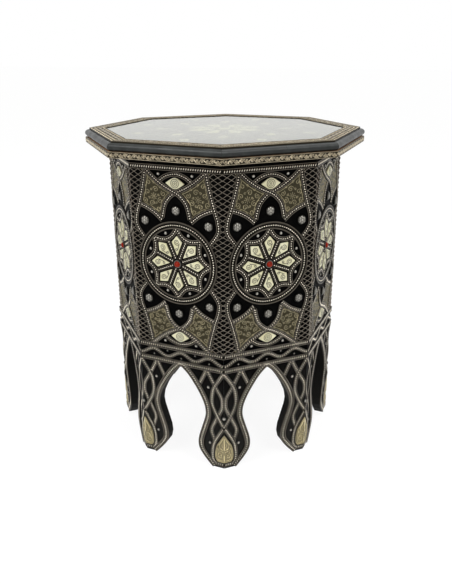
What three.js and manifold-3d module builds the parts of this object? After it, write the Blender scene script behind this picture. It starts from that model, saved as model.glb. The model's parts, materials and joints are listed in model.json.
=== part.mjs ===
// Octagonal stool of the moroccan kursi kind. Eight mitred boards stand on bulb feet between
// pointed arches. Each is faced with metal strapwork round a bone rosette, and an overhanging
// top with a black nosing holds a pane of glass over an inlaid panel.
// Millimetres, +Z up, origin on the floor under the middle of the top.

import * as THREE from "three";
import { mergeVertices } from "three/addons/utils/BufferGeometryUtils.js";
import Module from "manifold-3d";

const wasm = await Module();
wasm.setup();

// Whole stool
const sideCount = 8;
const stoolHeight = 510;
const rimAcrossFlats = 408;
const bodyAcrossFlats = 341;
const seatGap = 0.3;
const overrun = 5;

// Top
const slabThickness = 8.5;
const borderThickness = 13.5;
const borderWidth = 23.5;
const borderBeadWidth = 4;
const borderBeadHeight = 0.8;
const mouldingHeight = 11;
const mouldingDepth = 6.5;
const friezeThickness = 1.2;
const panelThickness = 7.2;
const flowerThickness = 0.8;
const paneThickness = 4;
const paneArris = 0.8;
const paneClearance = 0.6;

// Side boards and the blocks in their corners
const boardThickness = 14;
const archHeight = 171;
const blockArm = 28;
const blockHeight = 90;

// Half of the arch from its apex to the foot, in shares of half a face and of the arch's height
const archShares = [
  [0, 1], [0.16, 0.937], [0.3, 0.857], [0.44, 0.76], [0.54, 0.665], [0.573, 0.585], [0.55, 0.52],
  [0.47, 0.41], [0.4, 0.31], [0.38, 0.235], [0.415, 0.165], [0.545, 0.085], [0.73, 0],
];

// Straps
const strapThickness = 2;
const strapWidth = 6.8;
const bandStrapWidth = 8;
const archStrapWidth = 9.5;
const apexCover = 1;
const waveBandHeight = 16;
const waveCount = 3;
const waveStrapWidth = 4.6;
const strapLap = 0.5;
const topFillet = 9.4;

// Rosette
const ringMargin = 8;
const ringStrapWidth = 11;
const starWaistShare = 0.76;
const hubRadius = 12.5;
const spokeWidth = 6;
const boneThickness = 2.5;
const plateThickness = 1.2;
const petalTip = 11;
const petalShoulder = 33;
const petalHalfWidth = 8;
const petalReach = 42.5;
const eyeHalfWidth = 14.5;
const eyeHalfHeight = 8.6;
const stoneRadius = 4.6;
const stoneHeight = 3.2;

// Straps of the upper right quarter, in shares of half a face and of half the field's height
const crossingShare = 0.775;
const ogiveStrapShares = [
  [0.31, 0.505], [0.24, 0.65], [0.115, 0.735], [0, crossingShare],
  [-0.22, 0.83], [-0.45, 0.91], [-0.7, 1.03],
];
const sideStrapShares = [[0.655, 1.03], [0.72, 0.85], [0.825, 0.64], [0.905, 0.5], [0.9, 0.38]];
const sideStrapEndShare = 0.7;
const shoulderStrapShares = [[0.32, 0.47], [0.84, 0.63]];
const eyeStrapShares = [[0.42, 0.86], [0.27, 0.925], [0.14, 0.957], [0, 0.97]];
const plateShares = [[0.69, 0.98], [0.1, crossingShare], [0.32, 0.5], [0.84, 0.63]];

// Straps of the leg, in shares of half a face and of the arch's height
const outerLegStrapShares = [
  [1.03, 1.02], [0.79, 0.863], [0.73, 0.77], [0.73, 0.67], [0.87, 0.54], [1.03, 0.425],
];
const innerLegStrapShares = [
  [0.6, 1.02], [0.79, 0.865], [0.94, 0.76], [0.967, 0.69],
  [0.94, 0.63], [0.745, 0.455], [0.705, 0.39], [0.79, 0.28],
];
const braceShares = [[0.61, 1.02], [0.42, 0.85]];

// Leaf folded over the foot's corner, its outline in shares of its half width and its height
const leafHalfWidth = 14.5;
const leafHeight = 50;
const leafBase = 12;
const leafThickness = 1.4;
const leafStrapMargin = 4.5;
const leafStrapPeak = 9.5;
const leafShares = [
  [0, 1], [0.24, 0.89], [0.52, 0.75], [0.82, 0.59], [1, 0.36], [0.99, 0.12], [0.75, 0],
];

// Petals under the glass: the panel's flower in shares of the rosette's petals, and two rings of
// small petals with tip, shoulder and reach in shares of the panel's half width
const flowerShare = 1.45;
const nearPetalShares = [0.48, 0.56, 0.62];
const farPetalShares = [0.74, 0.81, 0.86];

// How finely curves are cut
const archSteps = 12;
const ringSteps = 16;
const hubSteps = 12;
const legStrapSteps = 7;
const longStrapSteps = 5;
const shortStrapSteps = 3;
const eyeSteps = 4;
const leafSteps = 6;
const waveSteps = 4;
const stoneSteps = 10;
const domeSteps = 3;
const nosingSteps = 4;
const facetTolerance = 0.8;

// Worked out from the sizes above
const turn = (2 * Math.PI) / sideCount;
const mitreSlope = Math.tan(turn / 2);
const cornerFactor = 1 / Math.cos(turn / 2);
const rimApothem = rimAcrossFlats / 2;
const boardApothem = bodyAcrossFlats / 2;
const faceHalf = boardApothem * mitreSlope;
const sheetHalf = faceHalf - seatGap;
const slabTop = stoolHeight - borderThickness - seatGap;
const slabBottom = slabTop - slabThickness;
const boardHeight = slabBottom - seatGap;
const trimBase = slabTop + seatGap;
const waveBottom = archHeight + apexCover + bandStrapWidth;
const waveTop = waveBottom + waveBandHeight;
const fieldBottom = waveTop + bandStrapWidth;
const fieldTop = boardHeight - topFillet - bandStrapWidth;
const fieldHalf = (fieldTop - fieldBottom) / 2;
const rosetteHeight = (fieldTop + fieldBottom) / 2;
const ringRadius = faceHalf - ringMargin;
const eyeHeight = crossingShare * fieldHalf + strapWidth / 2 - strapLap + eyeHalfHeight;
const openingApothem = rimApothem - mouldingDepth - seatGap - borderWidth;
const sheetApothem = boardApothem + seatGap;

// Finishes
const finish = (name, color, roughness, metalness) =>
  new THREE.MeshStandardMaterial({ name, color, roughness, metalness });
const blackLeather = finish("black_leather", 0x121110, 0.6, 0);
const rawWood = finish("raw_wood", 0x6b4a2f, 0.8, 0);
const strapMetal = finish("strap_metal", 0x8f897c, 0.38, 0.9);
const friezeMetal = finish("frieze_metal", 0x93826a, 0.42, 0.9);
const blackNosing = finish("black_nosing", 0x272a29, 0.32, 0);
const brassLeaf = finish("brass_leaf", 0xb3a274, 0.4, 0.9);
const inlay = finish("inlay", 0xd9d4b4, 0.5, 0);
const redStone = finish("red_stone", 0xa31a12, 0.15, 0);
const glass = finish("glass", 0xc4cabf, 0.05, 0);

// Closed three.js geometry as a solid that can be joined and cut
function toSolid(geometry) {
  const bare = geometry.clone();
  bare.deleteAttribute("normal");
  bare.deleteAttribute("uv");
  const merged = mergeVertices(bare);
  const vertProperties = merged.attributes.position.array;
  const triVerts = merged.index.array;
  return new wasm.Manifold(new wasm.Mesh({ numProp: 3, vertProperties, triVerts }));
}

// The solid's triangles as a three.js geometry
function toGeometry(solid) {
  const { vertProperties, triVerts } = solid.getMesh();
  const geometry = new THREE.BufferGeometry();
  geometry.setAttribute("position", new THREE.BufferAttribute(vertProperties, 3));
  geometry.setIndex(new THREE.BufferAttribute(triVerts, 1));
  geometry.computeVertexNormals();
  return geometry;
}

const point = (u, z) => new THREE.Vector2(u, z);
const polar = (radius, angle) => point(radius * Math.cos(angle), radius * Math.sin(angle));
const circle = (radius, count) =>
  Array.from({ length: count }, (_, i) => polar(radius, (i * 2 * Math.PI) / count));
const smooth = (points, steps) => new THREE.SplineCurve(points).getPoints(steps);
const mirrored = (points) => points.map((p) => point(-p.x, p.y));
const upended = (points) => points.map((p) => point(p.x, -p.y));
const raised = (points, height) => points.map((p) => point(p.x, p.y + height));

// Places given as shares of a width and a height
const fromShares = (shares, width, height) => shares.map(([u, z]) => point(u * width, z * height));

// Shape drawn on an upright face, thick towards the outside, which is -Y
function plate(shape, thickness) {
  return new THREE.ExtrudeGeometry(shape, { depth: thickness, bevelEnabled: false }).rotateX(Math.PI / 2);
}

const plateSolid = (points, thickness) => toSolid(plate(new THREE.Shape(points), thickness));

// Both edges of a strap of the given width along a line
function edges(line, width, closed) {
  const last = line.length - 1;
  const left = [];
  const right = [];
  line.forEach((here, i) => {
    const before = line[i === 0 ? (closed ? last : 0) : i - 1];
    const after = line[i === last ? (closed ? 0 : last) : i + 1];
    const along = after.clone().sub(before).normalize();
    const across = point(-along.y, along.x).multiplyScalar(width / 2);
    left.push(here.clone().add(across));
    right.push(here.clone().sub(across));
  });
  return [left, right];
}

function strap(line, width = strapWidth, thickness = strapThickness) {
  const [left, right] = edges(line, width, false);
  return plateSolid([...left, ...right.reverse()], thickness);
}

function closedStrap(line, width, thickness) {
  const [left, right] = edges(line, width, true);
  const shape = new THREE.Shape(right);
  shape.holes.push(new THREE.Path(left));
  return toSolid(plate(shape, thickness));
}

// Straight piece between two mitred ends, from a section whose x is the distance from the
// stool's axis and whose y is the height
function mitredStrip(section) {
  const settings = { depth: 1, bevelEnabled: false, curveSegments: nosingSteps };
  const geometry = new THREE.ExtrudeGeometry(section, settings);
  const place = geometry.attributes.position;
  for (let i = 0; i < place.count; i += 1) {
    const reach = place.getX(i) * mitreSlope - seatGap / 2;
    const end = place.getZ(i) === 0 ? 1 : -1;
    place.setXYZ(i, end * reach, -place.getX(i), place.getY(i));
  }
  geometry.computeVertexNormals();
  return geometry;
}

function rectangle(left, right, bottom, top) {
  return new THREE.Shape([point(left, bottom), point(right, bottom), point(right, top), point(left, top)]);
}

// Flat or stepped octagonal piece, from a section in distances across half its flats
function octagon(section) {
  const corners = section.map((p) => point(p.x * cornerFactor, p.y));
  return new THREE.LatheGeometry(corners, sideCount, turn / 2).rotateX(Math.PI / 2);
}

// Outline of the arch and of the room below it, which the boards and the straps are cut by
function archLine() {
  const half = smooth(fromShares(archShares, faceHalf, archHeight), archSteps);
  return [...mirrored(half).reverse(), ...half.slice(1)];
}

function archCutter(depth) {
  const line = archLine();
  const foot = line[line.length - 1];
  const below = [point(foot.x, -overrun), point(-foot.x, -overrun)];
  return toSolid(plate(new THREE.Shape([...line, ...below]), depth));
}

function sideBoard() {
  const inner = boardApothem - boardThickness;
  const board = toSolid(mitredStrip(rectangle(inner, boardApothem, 0, boardHeight)));
  const cutter = archCutter(boardThickness + 2 * overrun).translate([0, overrun - inner, 0]);
  return toGeometry(board.subtract(cutter));
}

// Three-cornered block glued into the corner between two boards
function cornerBlock() {
  const corner = (boardApothem - boardThickness - seatGap) * cornerFactor;
  const across = blockArm * Math.cos(turn / 2);
  const back = blockArm * Math.sin(turn / 2);
  const arms = [point(across, back - corner), point(-across, back - corner)];
  const plan = new THREE.Shape([point(0, -corner), ...arms]);
  return new THREE.ExtrudeGeometry(plan, { depth: blockHeight, bevelEnabled: false });
}

// A line in all four quarters of the field, round the rosette
function quarters(line) {
  return [line, mirrored(line), upended(line), mirrored(upended(line))];
}

function fieldStraps() {
  const place = (shares) => fromShares(shares, faceHalf, fieldHalf);
  const side = [...place(sideStrapShares), polar(ringRadius, turn * sideStrapEndShare)];
  const eye = place(eyeStrapShares);
  const eyeArch = [...eye, ...mirrored(eye).reverse().slice(1)];
  const lines = [
    ...quarters(smooth(place(ogiveStrapShares), longStrapSteps)),
    ...quarters(smooth(side, shortStrapSteps)),
    ...quarters(place(shoulderStrapShares)),
    smooth(eyeArch, eyeSteps),
    smooth(upended(eyeArch), eyeSteps),
  ];
  return lines.map((line) => strap(line));
}

// Bone eye: two arcs that meet in points
function eyeOutline() {
  const upper = smooth(
    [point(eyeHalfWidth, 0), point(0, eyeHalfHeight), point(-eyeHalfWidth, 0)], eyeSteps,
  );
  return [...upper, ...upended(upper).reverse().slice(1, -1)];
}

function boneEyes() {
  return [eyeHeight, -eyeHeight].map((z) => plateSolid(raised(eyeOutline(), z), boneThickness));
}

// Petals of bone between an inner tip, two shoulders and an outer tip
function petal(tip, shoulder, halfWidth, reach, angle) {
  const shoulders = [point(shoulder, -halfWidth), point(shoulder, halfWidth)];
  const outline = [point(tip, 0), shoulders[0], point(reach, 0), shoulders[1]];
  return outline.map((p) => p.rotateAround(point(0, 0), angle));
}

function rosette() {
  const ring = ringRadius - ringStrapWidth / 2;
  const clear = ringRadius - ringStrapWidth;
  const starReach = clear - strapWidth / 2 + strapLap;
  const star = [];
  const spokes = [];
  const petals = [];
  for (let i = 0; i < sideCount; i += 1) {
    const angle = i * turn;
    star.push(polar(starReach, angle), polar(starWaistShare * clear, angle + turn / 2));
    spokes.push([polar(hubRadius / 2, angle + turn / 2), polar(starWaistShare * clear, angle + turn / 2)]);
    petals.push(petal(petalTip, petalShoulder, petalHalfWidth, petalReach, angle));
  }
  return [
    closedStrap(circle(ring, ringSteps), ringStrapWidth, strapThickness),
    closedStrap(star, strapWidth, strapThickness),
    ...spokes.map((line) => strap(line, spokeWidth)),
    ...petals.map((outline) => plateSolid(outline, boneThickness)),
    plateSolid(circle(hubRadius, hubSteps), boneThickness),
  ];
}

function embossedPlates() {
  const outline = fromShares(plateShares, faceHalf, fieldHalf);
  return quarters(outline).map((line) => plateSolid(line, plateThickness));
}

const levelStrap = (bottom) => plateSolid(
  rectangle(-faceHalf, faceHalf, bottom, bottom + bandStrapWidth).getPoints(), strapThickness,
);

function waveStrap() {
  const middle = (waveBottom + waveTop) / 2;
  const swing = (waveBandHeight - waveStrapWidth) / 2 + strapLap;
  const count = waveSteps * waveCount;
  const line = Array.from({ length: count + 1 }, (_, i) => {
    const share = i / count;
    const phase = (share - 0.5) * waveCount * 2 * Math.PI;
    return point((2 * share - 1) * faceHalf, middle + swing * Math.cos(phase));
  });
  return strap(line, waveStrapWidth);
}

// Leaf outline from the tip down one side, as distances from the foot's corner, or a larger one
// round it
function leafHalf(margin, peak) {
  const outline = fromShares(leafShares, leafHalfWidth + margin, leafHeight + peak + margin);
  return smooth(raised(outline, leafBase - margin), leafSteps);
}

// The line with one more point before its start, as far off as its second point is behind it
const prolonged = (line) => [line[0].clone().multiplyScalar(2).sub(line[1]), ...line];

function legStraps() {
  const place = (shares) => fromShares(shares, faceHalf, archHeight);
  const round = prolonged(leafHalf(leafStrapMargin, leafStrapPeak));
  const aroundLeaf = [...round, point(0, leafBase - leafStrapMargin)];
  const lines = [
    smooth(place(outerLegStrapShares), longStrapSteps),
    smooth(place(innerLegStrapShares), legStrapSteps),
    place(braceShares),
    aroundLeaf.map((p) => point(faceHalf - p.x, p.y)),
  ];
  return lines.flatMap((line) => [strap(line), strap(mirrored(line))]);
}

// All the metal and bone of one face, trimmed to the face and to its arch
function strapwork() {
  const round = [...fieldStraps(), ...boneEyes(), ...embossedPlates(), ...rosette()];
  const aboutRosette = round.map((solid) => solid.translate([0, 0, rosetteHeight]));
  const straps = [
    ...aboutRosette,
    ...legStraps(),
    levelStrap(fieldTop),
    levelStrap(waveTop),
    levelStrap(waveBottom - bandStrapWidth),
    waveStrap(),
    strap(archLine(), 2 * archStrapWidth),
  ];
  const face = plateSolid(
    rectangle(-sheetHalf, sheetHalf, seatGap, fieldTop + bandStrapWidth).getPoints(), boneThickness,
  );
  const cutter = archCutter(boneThickness + 2 * overrun).translate([0, overrun, 0]);
  const sheet = wasm.Manifold.union(straps).intersect(face).subtract(cutter);
  return toGeometry(sheet.asOriginal().simplify(facetTolerance));
}

// Domed stone in the middle of the rosette
function stone() {
  const profile = [point(0, 0), point(stoneRadius, 0)];
  const dome = new THREE.EllipseCurve(0, 0, stoneRadius, stoneHeight, 0, Math.PI / 2)
    .getPoints(domeSteps);
  return new THREE.LatheGeometry([...profile, ...dome.slice(1, -1), point(0, stoneHeight)], stoneSteps);
}

function rimMoulding() {
  const back = rimApothem - mouldingDepth;
  const middle = trimBase + mouldingHeight / 2;
  const section = new THREE.Shape().moveTo(back, trimBase);
  section.absellipse(back, middle, mouldingDepth, mouldingHeight / 2, -Math.PI / 2, Math.PI / 2);
  return mitredStrip(section);
}

const friezeStrip = () => mitredStrip(
  rectangle(rimApothem - friezeThickness, rimApothem, slabBottom, slabTop),
);

// Leaf of sheet brass: its outline, seen from the corner, cut from a folded strip
function footLeaf() {
  const fold = (apothem) => {
    const across = 2 * leafHalfWidth * Math.cos(turn / 2);
    const back = 2 * leafHalfWidth * Math.sin(turn / 2);
    const corner = -apothem * cornerFactor;
    return [point(-across, corner + back), point(0, corner), point(across, corner + back)];
  };
  const plan = new THREE.Shape([...fold(sheetApothem + leafThickness), ...fold(sheetApothem).reverse()]);
  const folded = toSolid(new THREE.ExtrudeGeometry(plan, { depth: stoolHeight, bevelEnabled: false }));
  const half = leafHalf(0, 0).map((p) => point(p.x * Math.cos(turn / 2), p.y));
  const depth = (sheetApothem + leafThickness) * cornerFactor + overrun;
  const outline = plateSolid([...half, ...mirrored(half).reverse().slice(0, -1)], depth);
  return toGeometry(folded.intersect(outline));
}

function topSlab() {
  const apothem = rimApothem - friezeThickness - seatGap;
  return octagon([
    point(0, slabBottom), point(apothem, slabBottom), point(apothem, slabTop), point(0, slabTop),
  ]);
}

// Raised border with a bead along both edges
function topBorder() {
  const outer = openingApothem + borderWidth;
  const low = stoolHeight - borderBeadHeight;
  return octagon([
    point(openingApothem, trimBase),
    point(outer, trimBase),
    point(outer, stoolHeight),
    point(outer - borderBeadWidth, stoolHeight),
    point(outer - borderBeadWidth, low),
    point(openingApothem + borderBeadWidth, low),
    point(openingApothem + borderBeadWidth, stoolHeight),
    point(openingApothem, stoolHeight),
    point(openingApothem, trimBase),
  ]);
}

// Panel under the glass, with a flower of bone petals and two rings of smaller ones round it
function inlaidPanel() {
  const apothem = openingApothem - paneClearance;
  const base = toSolid(octagon([
    point(0, 0), point(apothem, 0), point(apothem, panelThickness), point(0, panelThickness),
  ]));
  const large = [petalTip, petalShoulder, petalHalfWidth, petalReach].map((size) => size * flowerShare);
  const small = (shares, angle) => {
    const [tip, shoulder, reach] = shares.map((share) => share * apothem);
    return petal(tip, shoulder, petalHalfWidth, reach, angle);
  };
  const sunk = panelThickness / 2;
  const settings = { depth: sunk + flowerThickness, bevelEnabled: false };
  const petals = [];
  for (let i = 0; i < sideCount; i += 1) {
    petals.push(petal(...large, i * turn));
    petals.push(small(nearPetalShares, (i + 0.5) * turn));
    petals.push(small(farPetalShares, i * turn));
  }
  const inlays = petals.map((outline) => {
    const geometry = new THREE.ExtrudeGeometry(new THREE.Shape(outline), settings);
    return toSolid(geometry).translate([0, 0, panelThickness - sunk]);
  });
  return toGeometry(wasm.Manifold.union([base, ...inlays]));
}

function glassPane() {
  const apothem = openingApothem - paneClearance;
  return octagon([
    point(0, 0),
    point(apothem - paneArris, 0),
    point(apothem, paneArris),
    point(apothem, paneThickness - paneArris),
    point(apothem - paneArris, paneThickness),
    point(0, paneThickness),
  ]);
}

// Assembly
const stool = new THREE.Group();
stool.name = "kursi_stool";

function add(parent, name, geometry, material, x = 0, y = 0, z = 0) {
  const mesh = new THREE.Mesh(geometry, material);
  mesh.name = name;
  mesh.position.set(x, y, z);
  parent.add(mesh);
  return mesh;
}

const board = sideBoard();
const sheet = strapwork();
const gem = stone();
const nosing = rimMoulding();
const frieze = friezeStrip();
const block = cornerBlock();
const leaf = footLeaf();
const gemSeat = sheetApothem + boneThickness + seatGap;

for (let i = 0; i < sideCount; i += 1) {
  const number = i + 1;
  const face = new THREE.Group();
  face.rotation.z = i * turn;
  add(face, `side_panel_${number}`, board, blackLeather);
  add(face, `strapwork_${number}`, sheet, strapMetal, 0, -sheetApothem);
  add(face, `stone_${number}`, gem, redStone, 0, -gemSeat, rosetteHeight).rotation.x = Math.PI;
  add(face, `rim_moulding_${number}`, nosing, blackNosing);
  add(face, `frieze_strip_${number}`, frieze, friezeMetal);
  const corner = new THREE.Group();
  corner.rotation.z = (i + 0.5) * turn;
  add(corner, `glue_block_${number}`, block, rawWood, 0, 0, boardHeight - blockHeight);
  add(corner, `foot_leaf_${number}`, leaf, brassLeaf);
  stool.add(face, corner);
}

const panelBase = trimBase;
const paneBase = panelBase + panelThickness + flowerThickness + seatGap;
add(stool, "top_board", topSlab(), rawWood);
add(stool, "top_border", topBorder(), friezeMetal);
add(stool, "inlaid_top", inlaidPanel(), inlay, 0, 0, panelBase);
add(stool, "glass_pane", glassPane(), glass, 0, 0, paneBase);

export default stool;
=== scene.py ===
"""Octagonal side stool of the moroccan kursi kind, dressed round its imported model.

The work of one face is drawn flat in millimetres, with x across the face, y up and z out of it. It is
then folded into metres on all eight faces. The top is drawn the same way, seen from above.
"""

import json
import logging
import math
from collections.abc import Callable, Iterator, Sequence
from contextlib import contextmanager
from dataclasses import dataclass, field, replace
from enum import Enum, IntEnum

import bpy
import numpy as np
from mathutils import Matrix, Vector

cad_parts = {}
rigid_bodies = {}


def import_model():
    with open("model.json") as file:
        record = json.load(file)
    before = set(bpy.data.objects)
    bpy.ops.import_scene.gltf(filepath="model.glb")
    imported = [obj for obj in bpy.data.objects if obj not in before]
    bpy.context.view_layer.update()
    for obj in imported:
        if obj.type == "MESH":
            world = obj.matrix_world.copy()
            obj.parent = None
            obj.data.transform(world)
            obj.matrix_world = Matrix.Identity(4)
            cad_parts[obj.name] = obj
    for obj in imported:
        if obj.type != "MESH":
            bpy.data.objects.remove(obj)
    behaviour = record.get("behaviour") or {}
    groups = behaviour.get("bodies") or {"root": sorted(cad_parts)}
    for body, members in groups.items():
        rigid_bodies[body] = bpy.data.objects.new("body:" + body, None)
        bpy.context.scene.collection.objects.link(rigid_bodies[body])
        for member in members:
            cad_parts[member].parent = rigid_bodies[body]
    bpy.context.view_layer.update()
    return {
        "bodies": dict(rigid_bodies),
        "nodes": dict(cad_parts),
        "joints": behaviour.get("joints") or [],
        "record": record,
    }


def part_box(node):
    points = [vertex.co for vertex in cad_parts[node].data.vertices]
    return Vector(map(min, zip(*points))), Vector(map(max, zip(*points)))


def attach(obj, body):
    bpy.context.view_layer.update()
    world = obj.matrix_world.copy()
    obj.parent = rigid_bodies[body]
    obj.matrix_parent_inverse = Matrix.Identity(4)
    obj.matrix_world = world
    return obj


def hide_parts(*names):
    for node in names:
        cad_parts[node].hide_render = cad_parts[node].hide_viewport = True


Pair = tuple[float, float]
Point = tuple[float, float]
Line = list[Point]
Colour = tuple[float, float, float]

MM = 0.001
SIDES = 8
TURN = 360 / SIDES
SLOPE = math.tan(math.radians(TURN / 2))
CORNER = 1 / math.cos(math.radians(TURN / 2))
BODY = "root"
# Point attribute of how far a surface is rubbed; on the studs it also holds painted shade on the domes'
# sides and a painted highlight on their tops
WEAR_AND_PAINTED_SHADE = "wear_and_painted_shade"
MERGE = 0.002
ARRIS_SEGMENTS = 2
SHARP_ANGLE = 40
CURVE_STEPS = 6
SCROLL_STEPS = 14
SCROLL_LEAST = 6
# Ranges of a noise, from soft clouds to a few spots, that a finish maps to its own
EVEN = (0.3, 0.7)
PATCHY = (0.35, 0.7)
SPOTTED = (0.45, 0.75)

log = logging.getLogger("kursi")


class Slot(str, Enum):
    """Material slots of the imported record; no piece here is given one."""

    LEATHER = "black_leather"
    STRAP = "strap_metal"
    FRIEZE = "frieze_metal"
    BORDER = "border_metal"
    NOSING = "black_nosing"
    LEAF = "brass_leaf"
    BONE = "bone_inlay"


class Layer(IntEnum):
    """How high a strap lies where straps cross."""

    UNDER = 0
    LOW = 1
    HIGH = 2
    TOP = 3


class Mark(Enum):
    """What is pressed along the channel of a strap."""

    BEAD = "round beads"
    BAR = "slanting bars"


def polar(radius: float, degrees: float) -> Point:
    """Gives the point at a radius and an angle."""
    return radius * math.cos(math.radians(degrees)), radius * math.sin(math.radians(degrees))


def circle(radius: float, count: int, middle: Point = (0, 0)) -> Line:
    """Gives the points of a circle."""
    return moved([polar(radius, 360 * i / count) for i in range(count)], *middle)


def loop(radius: float, count: int, middle: Point) -> Line:
    """Gives the points of a circle with the first one repeated at the end."""
    line = circle(radius, count, middle)
    return [*line, line[0]]


def mirrored(line: Sequence[Point]) -> Line:
    """Mirrors a line left to right."""
    return [(-x, y) for x, y in line]


def upended(line: Line) -> Line:
    """Mirrors a line top to bottom."""
    return [(x, -y) for x, y in line]


def moved(line: Line, across: float, up: float) -> Line:
    """Moves a line."""
    return [(x + across, y + up) for x, y in line]


def turned(line: Line, degrees: float) -> Line:
    """Turns a line about the middle."""
    return [polar(math.hypot(x, y), math.degrees(math.atan2(y, x)) + degrees) for x, y in line]


def quarters(line: Line) -> list[Line]:
    """Repeats a line in the four quarters round the middle."""
    return [line, mirrored(line), upended(line), mirrored(upended(line))]


def symmetric(right: Sequence[Point]) -> Line:
    """Completes a section from its right half."""
    return [*right, *reversed(mirrored(right))]


def scaled(shares: Sequence[Point], width: float, height: float) -> Line:
    """Gives places written as shares of a width and a height."""
    return [(x * width, y * height) for x, y in shares]


def smooth(points: Line, steps: int = 8) -> Line:
    """Draws a smooth curve through points.

    Args:
        points: The points that the curve passes through.
        steps: How many pieces lie between two of them.

    Returns:
        The points of the curve.
    """
    ends = np.array([points[0], *points, points[-1]], float)
    curve = []
    for a, b, c, d in zip(ends, ends[1:], ends[2:], ends[3:]):
        for t in np.arange(steps) / steps:
            bend = (2 * a - 5 * b + 4 * c - d) * t**2 + (3 * b - a - 3 * c + d) * t**3
            curve.append(tuple((2 * b + (c - a) * t + bend) / 2))
    return [*curve, points[-1]]


def walk(line: Line, pitch: float, closed: bool = False) -> list[tuple[float, float, float]]:
    """Steps along a line at an even pitch.

    Args:
        line: The line to follow.
        pitch: The wanted distance between two steps.
        closed: Whether the line's end joins its start.

    Returns:
        The place of each step, across and up, and the line's direction there in degrees.
    """
    points = np.array([*line, line[0]] if closed else line, float)
    along = np.diff(points, axis=0)
    reach = np.concatenate([[0], np.cumsum(np.linalg.norm(along, axis=1))])
    count = max(1, round(reach[-1] / pitch))
    steps = (np.arange(count) + 0.5) * reach[-1] / count
    index = np.clip(np.searchsorted(reach, steps) - 1, 0, len(along) - 1)
    angles = np.degrees(np.arctan2(along[:, 1], along[:, 0]))[index]
    places = [np.interp(steps, reach, points[:, axis]) for axis in (0, 1)]
    return list(zip(*places, angles))


def evened(line: Line, pitch: float) -> Line:
    """Redraws an open line with points at an even pitch, its ends kept."""
    return [line[0], *[(x, y) for x, y, _ in walk(line, pitch)], line[-1]]


def curved(points: Line, pitch: float) -> Line:
    """Draws a smooth curve through points and redraws it at an even pitch."""
    return evened(smooth(points, CURVE_STEPS), pitch)


def beside(line: Line, distance: float) -> Line:
    """Gives the line that runs beside another.

    Args:
        line: The line to follow.
        distance: How far to the left of it the new line runs.

    Returns:
        The new line.
    """
    points = np.array(line, float)
    along = np.gradient(points, axis=0)
    along /= np.linalg.norm(along, axis=1)[:, None]
    return [tuple(p) for p in points + distance * np.stack([-along[:, 1], along[:, 0]], axis=1)]


def spiral(middle: Point, radius: float, turns: float, start: float, core: float = 0.15) -> Line:
    """Draws a scroll from its outer end to its core.

    Args:
        middle: The scroll's middle.
        radius: Its outer radius.
        turns: How often it winds, negative for clockwise.
        start: The angle of its outer end in degrees.
        core: The inner radius as a share of the outer one.

    Returns:
        The points of the scroll.
    """
    count = max(SCROLL_LEAST, round(abs(turns) * SCROLL_STEPS))
    shares = [i / count for i in range(count + 1)]
    return moved(
        [polar(radius * (1 - (1 - core) * s), start + 360 * turns * s) for s in shares], *middle
    )


def octagon(apothem: float) -> Line:
    """Gives the corners of an octagon with a flat side towards -y."""
    return [polar(apothem * CORNER, TURN * (i + 0.5)) for i in range(SIDES)]


def only(obj: bpy.types.Object) -> None:
    """Makes one object the only selected one.

    Args:
        obj: The object.
    """
    bpy.ops.object.select_all(action="DESELECT")
    obj.select_set(True)
    bpy.context.view_layer.objects.active = obj


@contextmanager
def editing(obj: bpy.types.Object) -> Iterator[None]:
    """Opens an object in edit mode with everything selected.

    Args:
        obj: The object.

    Yields:
        Nothing; the object leaves edit mode afterwards.
    """
    only(obj)
    bpy.ops.object.mode_set(mode="EDIT")
    bpy.ops.mesh.select_all(action="SELECT")
    yield
    bpy.ops.object.mode_set(mode="OBJECT")


def cleaned(obj: bpy.types.Object) -> bpy.types.Object:
    """Merges doubled points and turns the faces outwards.

    Args:
        obj: The mesh.

    Returns:
        The same object.
    """
    with editing(obj):
        bpy.ops.mesh.remove_doubles(threshold=MERGE)
        bpy.ops.mesh.normals_make_consistent(inside=False)
    return obj


def cut(obj: bpy.types.Object, place: Sequence[float], normal: Sequence[float]) -> bpy.types.Object:
    """Cuts off what lies beyond a plane and closes the cut.

    Args:
        obj: The mesh.
        place: A point of the plane.
        normal: The direction in which the mesh is cut off.

    Returns:
        The same object.
    """
    with editing(obj):
        bpy.ops.mesh.bisect(plane_co=place, plane_no=normal, use_fill=True, clear_outer=True)
    return obj


def mitred(obj: bpy.types.Object, apothem: float, gap: float = 0.0) -> bpy.types.Object:
    """Cuts both ends of a face's work where the next faces meet it.

    Args:
        obj: Work that is drawn flat.
        apothem: The distance of its z = 0 from the stool's axis.
        gap: The gap left between two faces.

    Returns:
        The same object.
    """
    edge = apothem * SLOPE - gap / 2
    for side in (1, -1):
        cut(obj, (side * edge, 0, 0), (side, 0, -SLOPE))
    return obj


def joined(name: str, parts: list[bpy.types.Object]) -> bpy.types.Object:
    """Joins objects into the first one.

    Args:
        name: The new name of the first one.
        parts: The objects.

    Returns:
        The first one.
    """
    only(parts[0])
    for part in parts[1:]:
        part.select_set(True)
    bpy.ops.object.join()
    parts[0].name = name
    return parts[0]


def rounded(obj: bpy.types.Object, width: float) -> bpy.types.Object:
    """Rounds the sharp edges of an object with an applied modifier.

    Args:
        obj: The mesh.
        width: The width of the rounding.

    Returns:
        The same object.
    """
    modifier = obj.modifiers.new("round", "BEVEL")
    modifier.width = width
    modifier.segments = ARRIS_SEGMENTS
    modifier.limit_method = "ANGLE"
    only(obj)
    bpy.ops.object.modifier_apply(modifier=modifier.name)
    return obj


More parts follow.
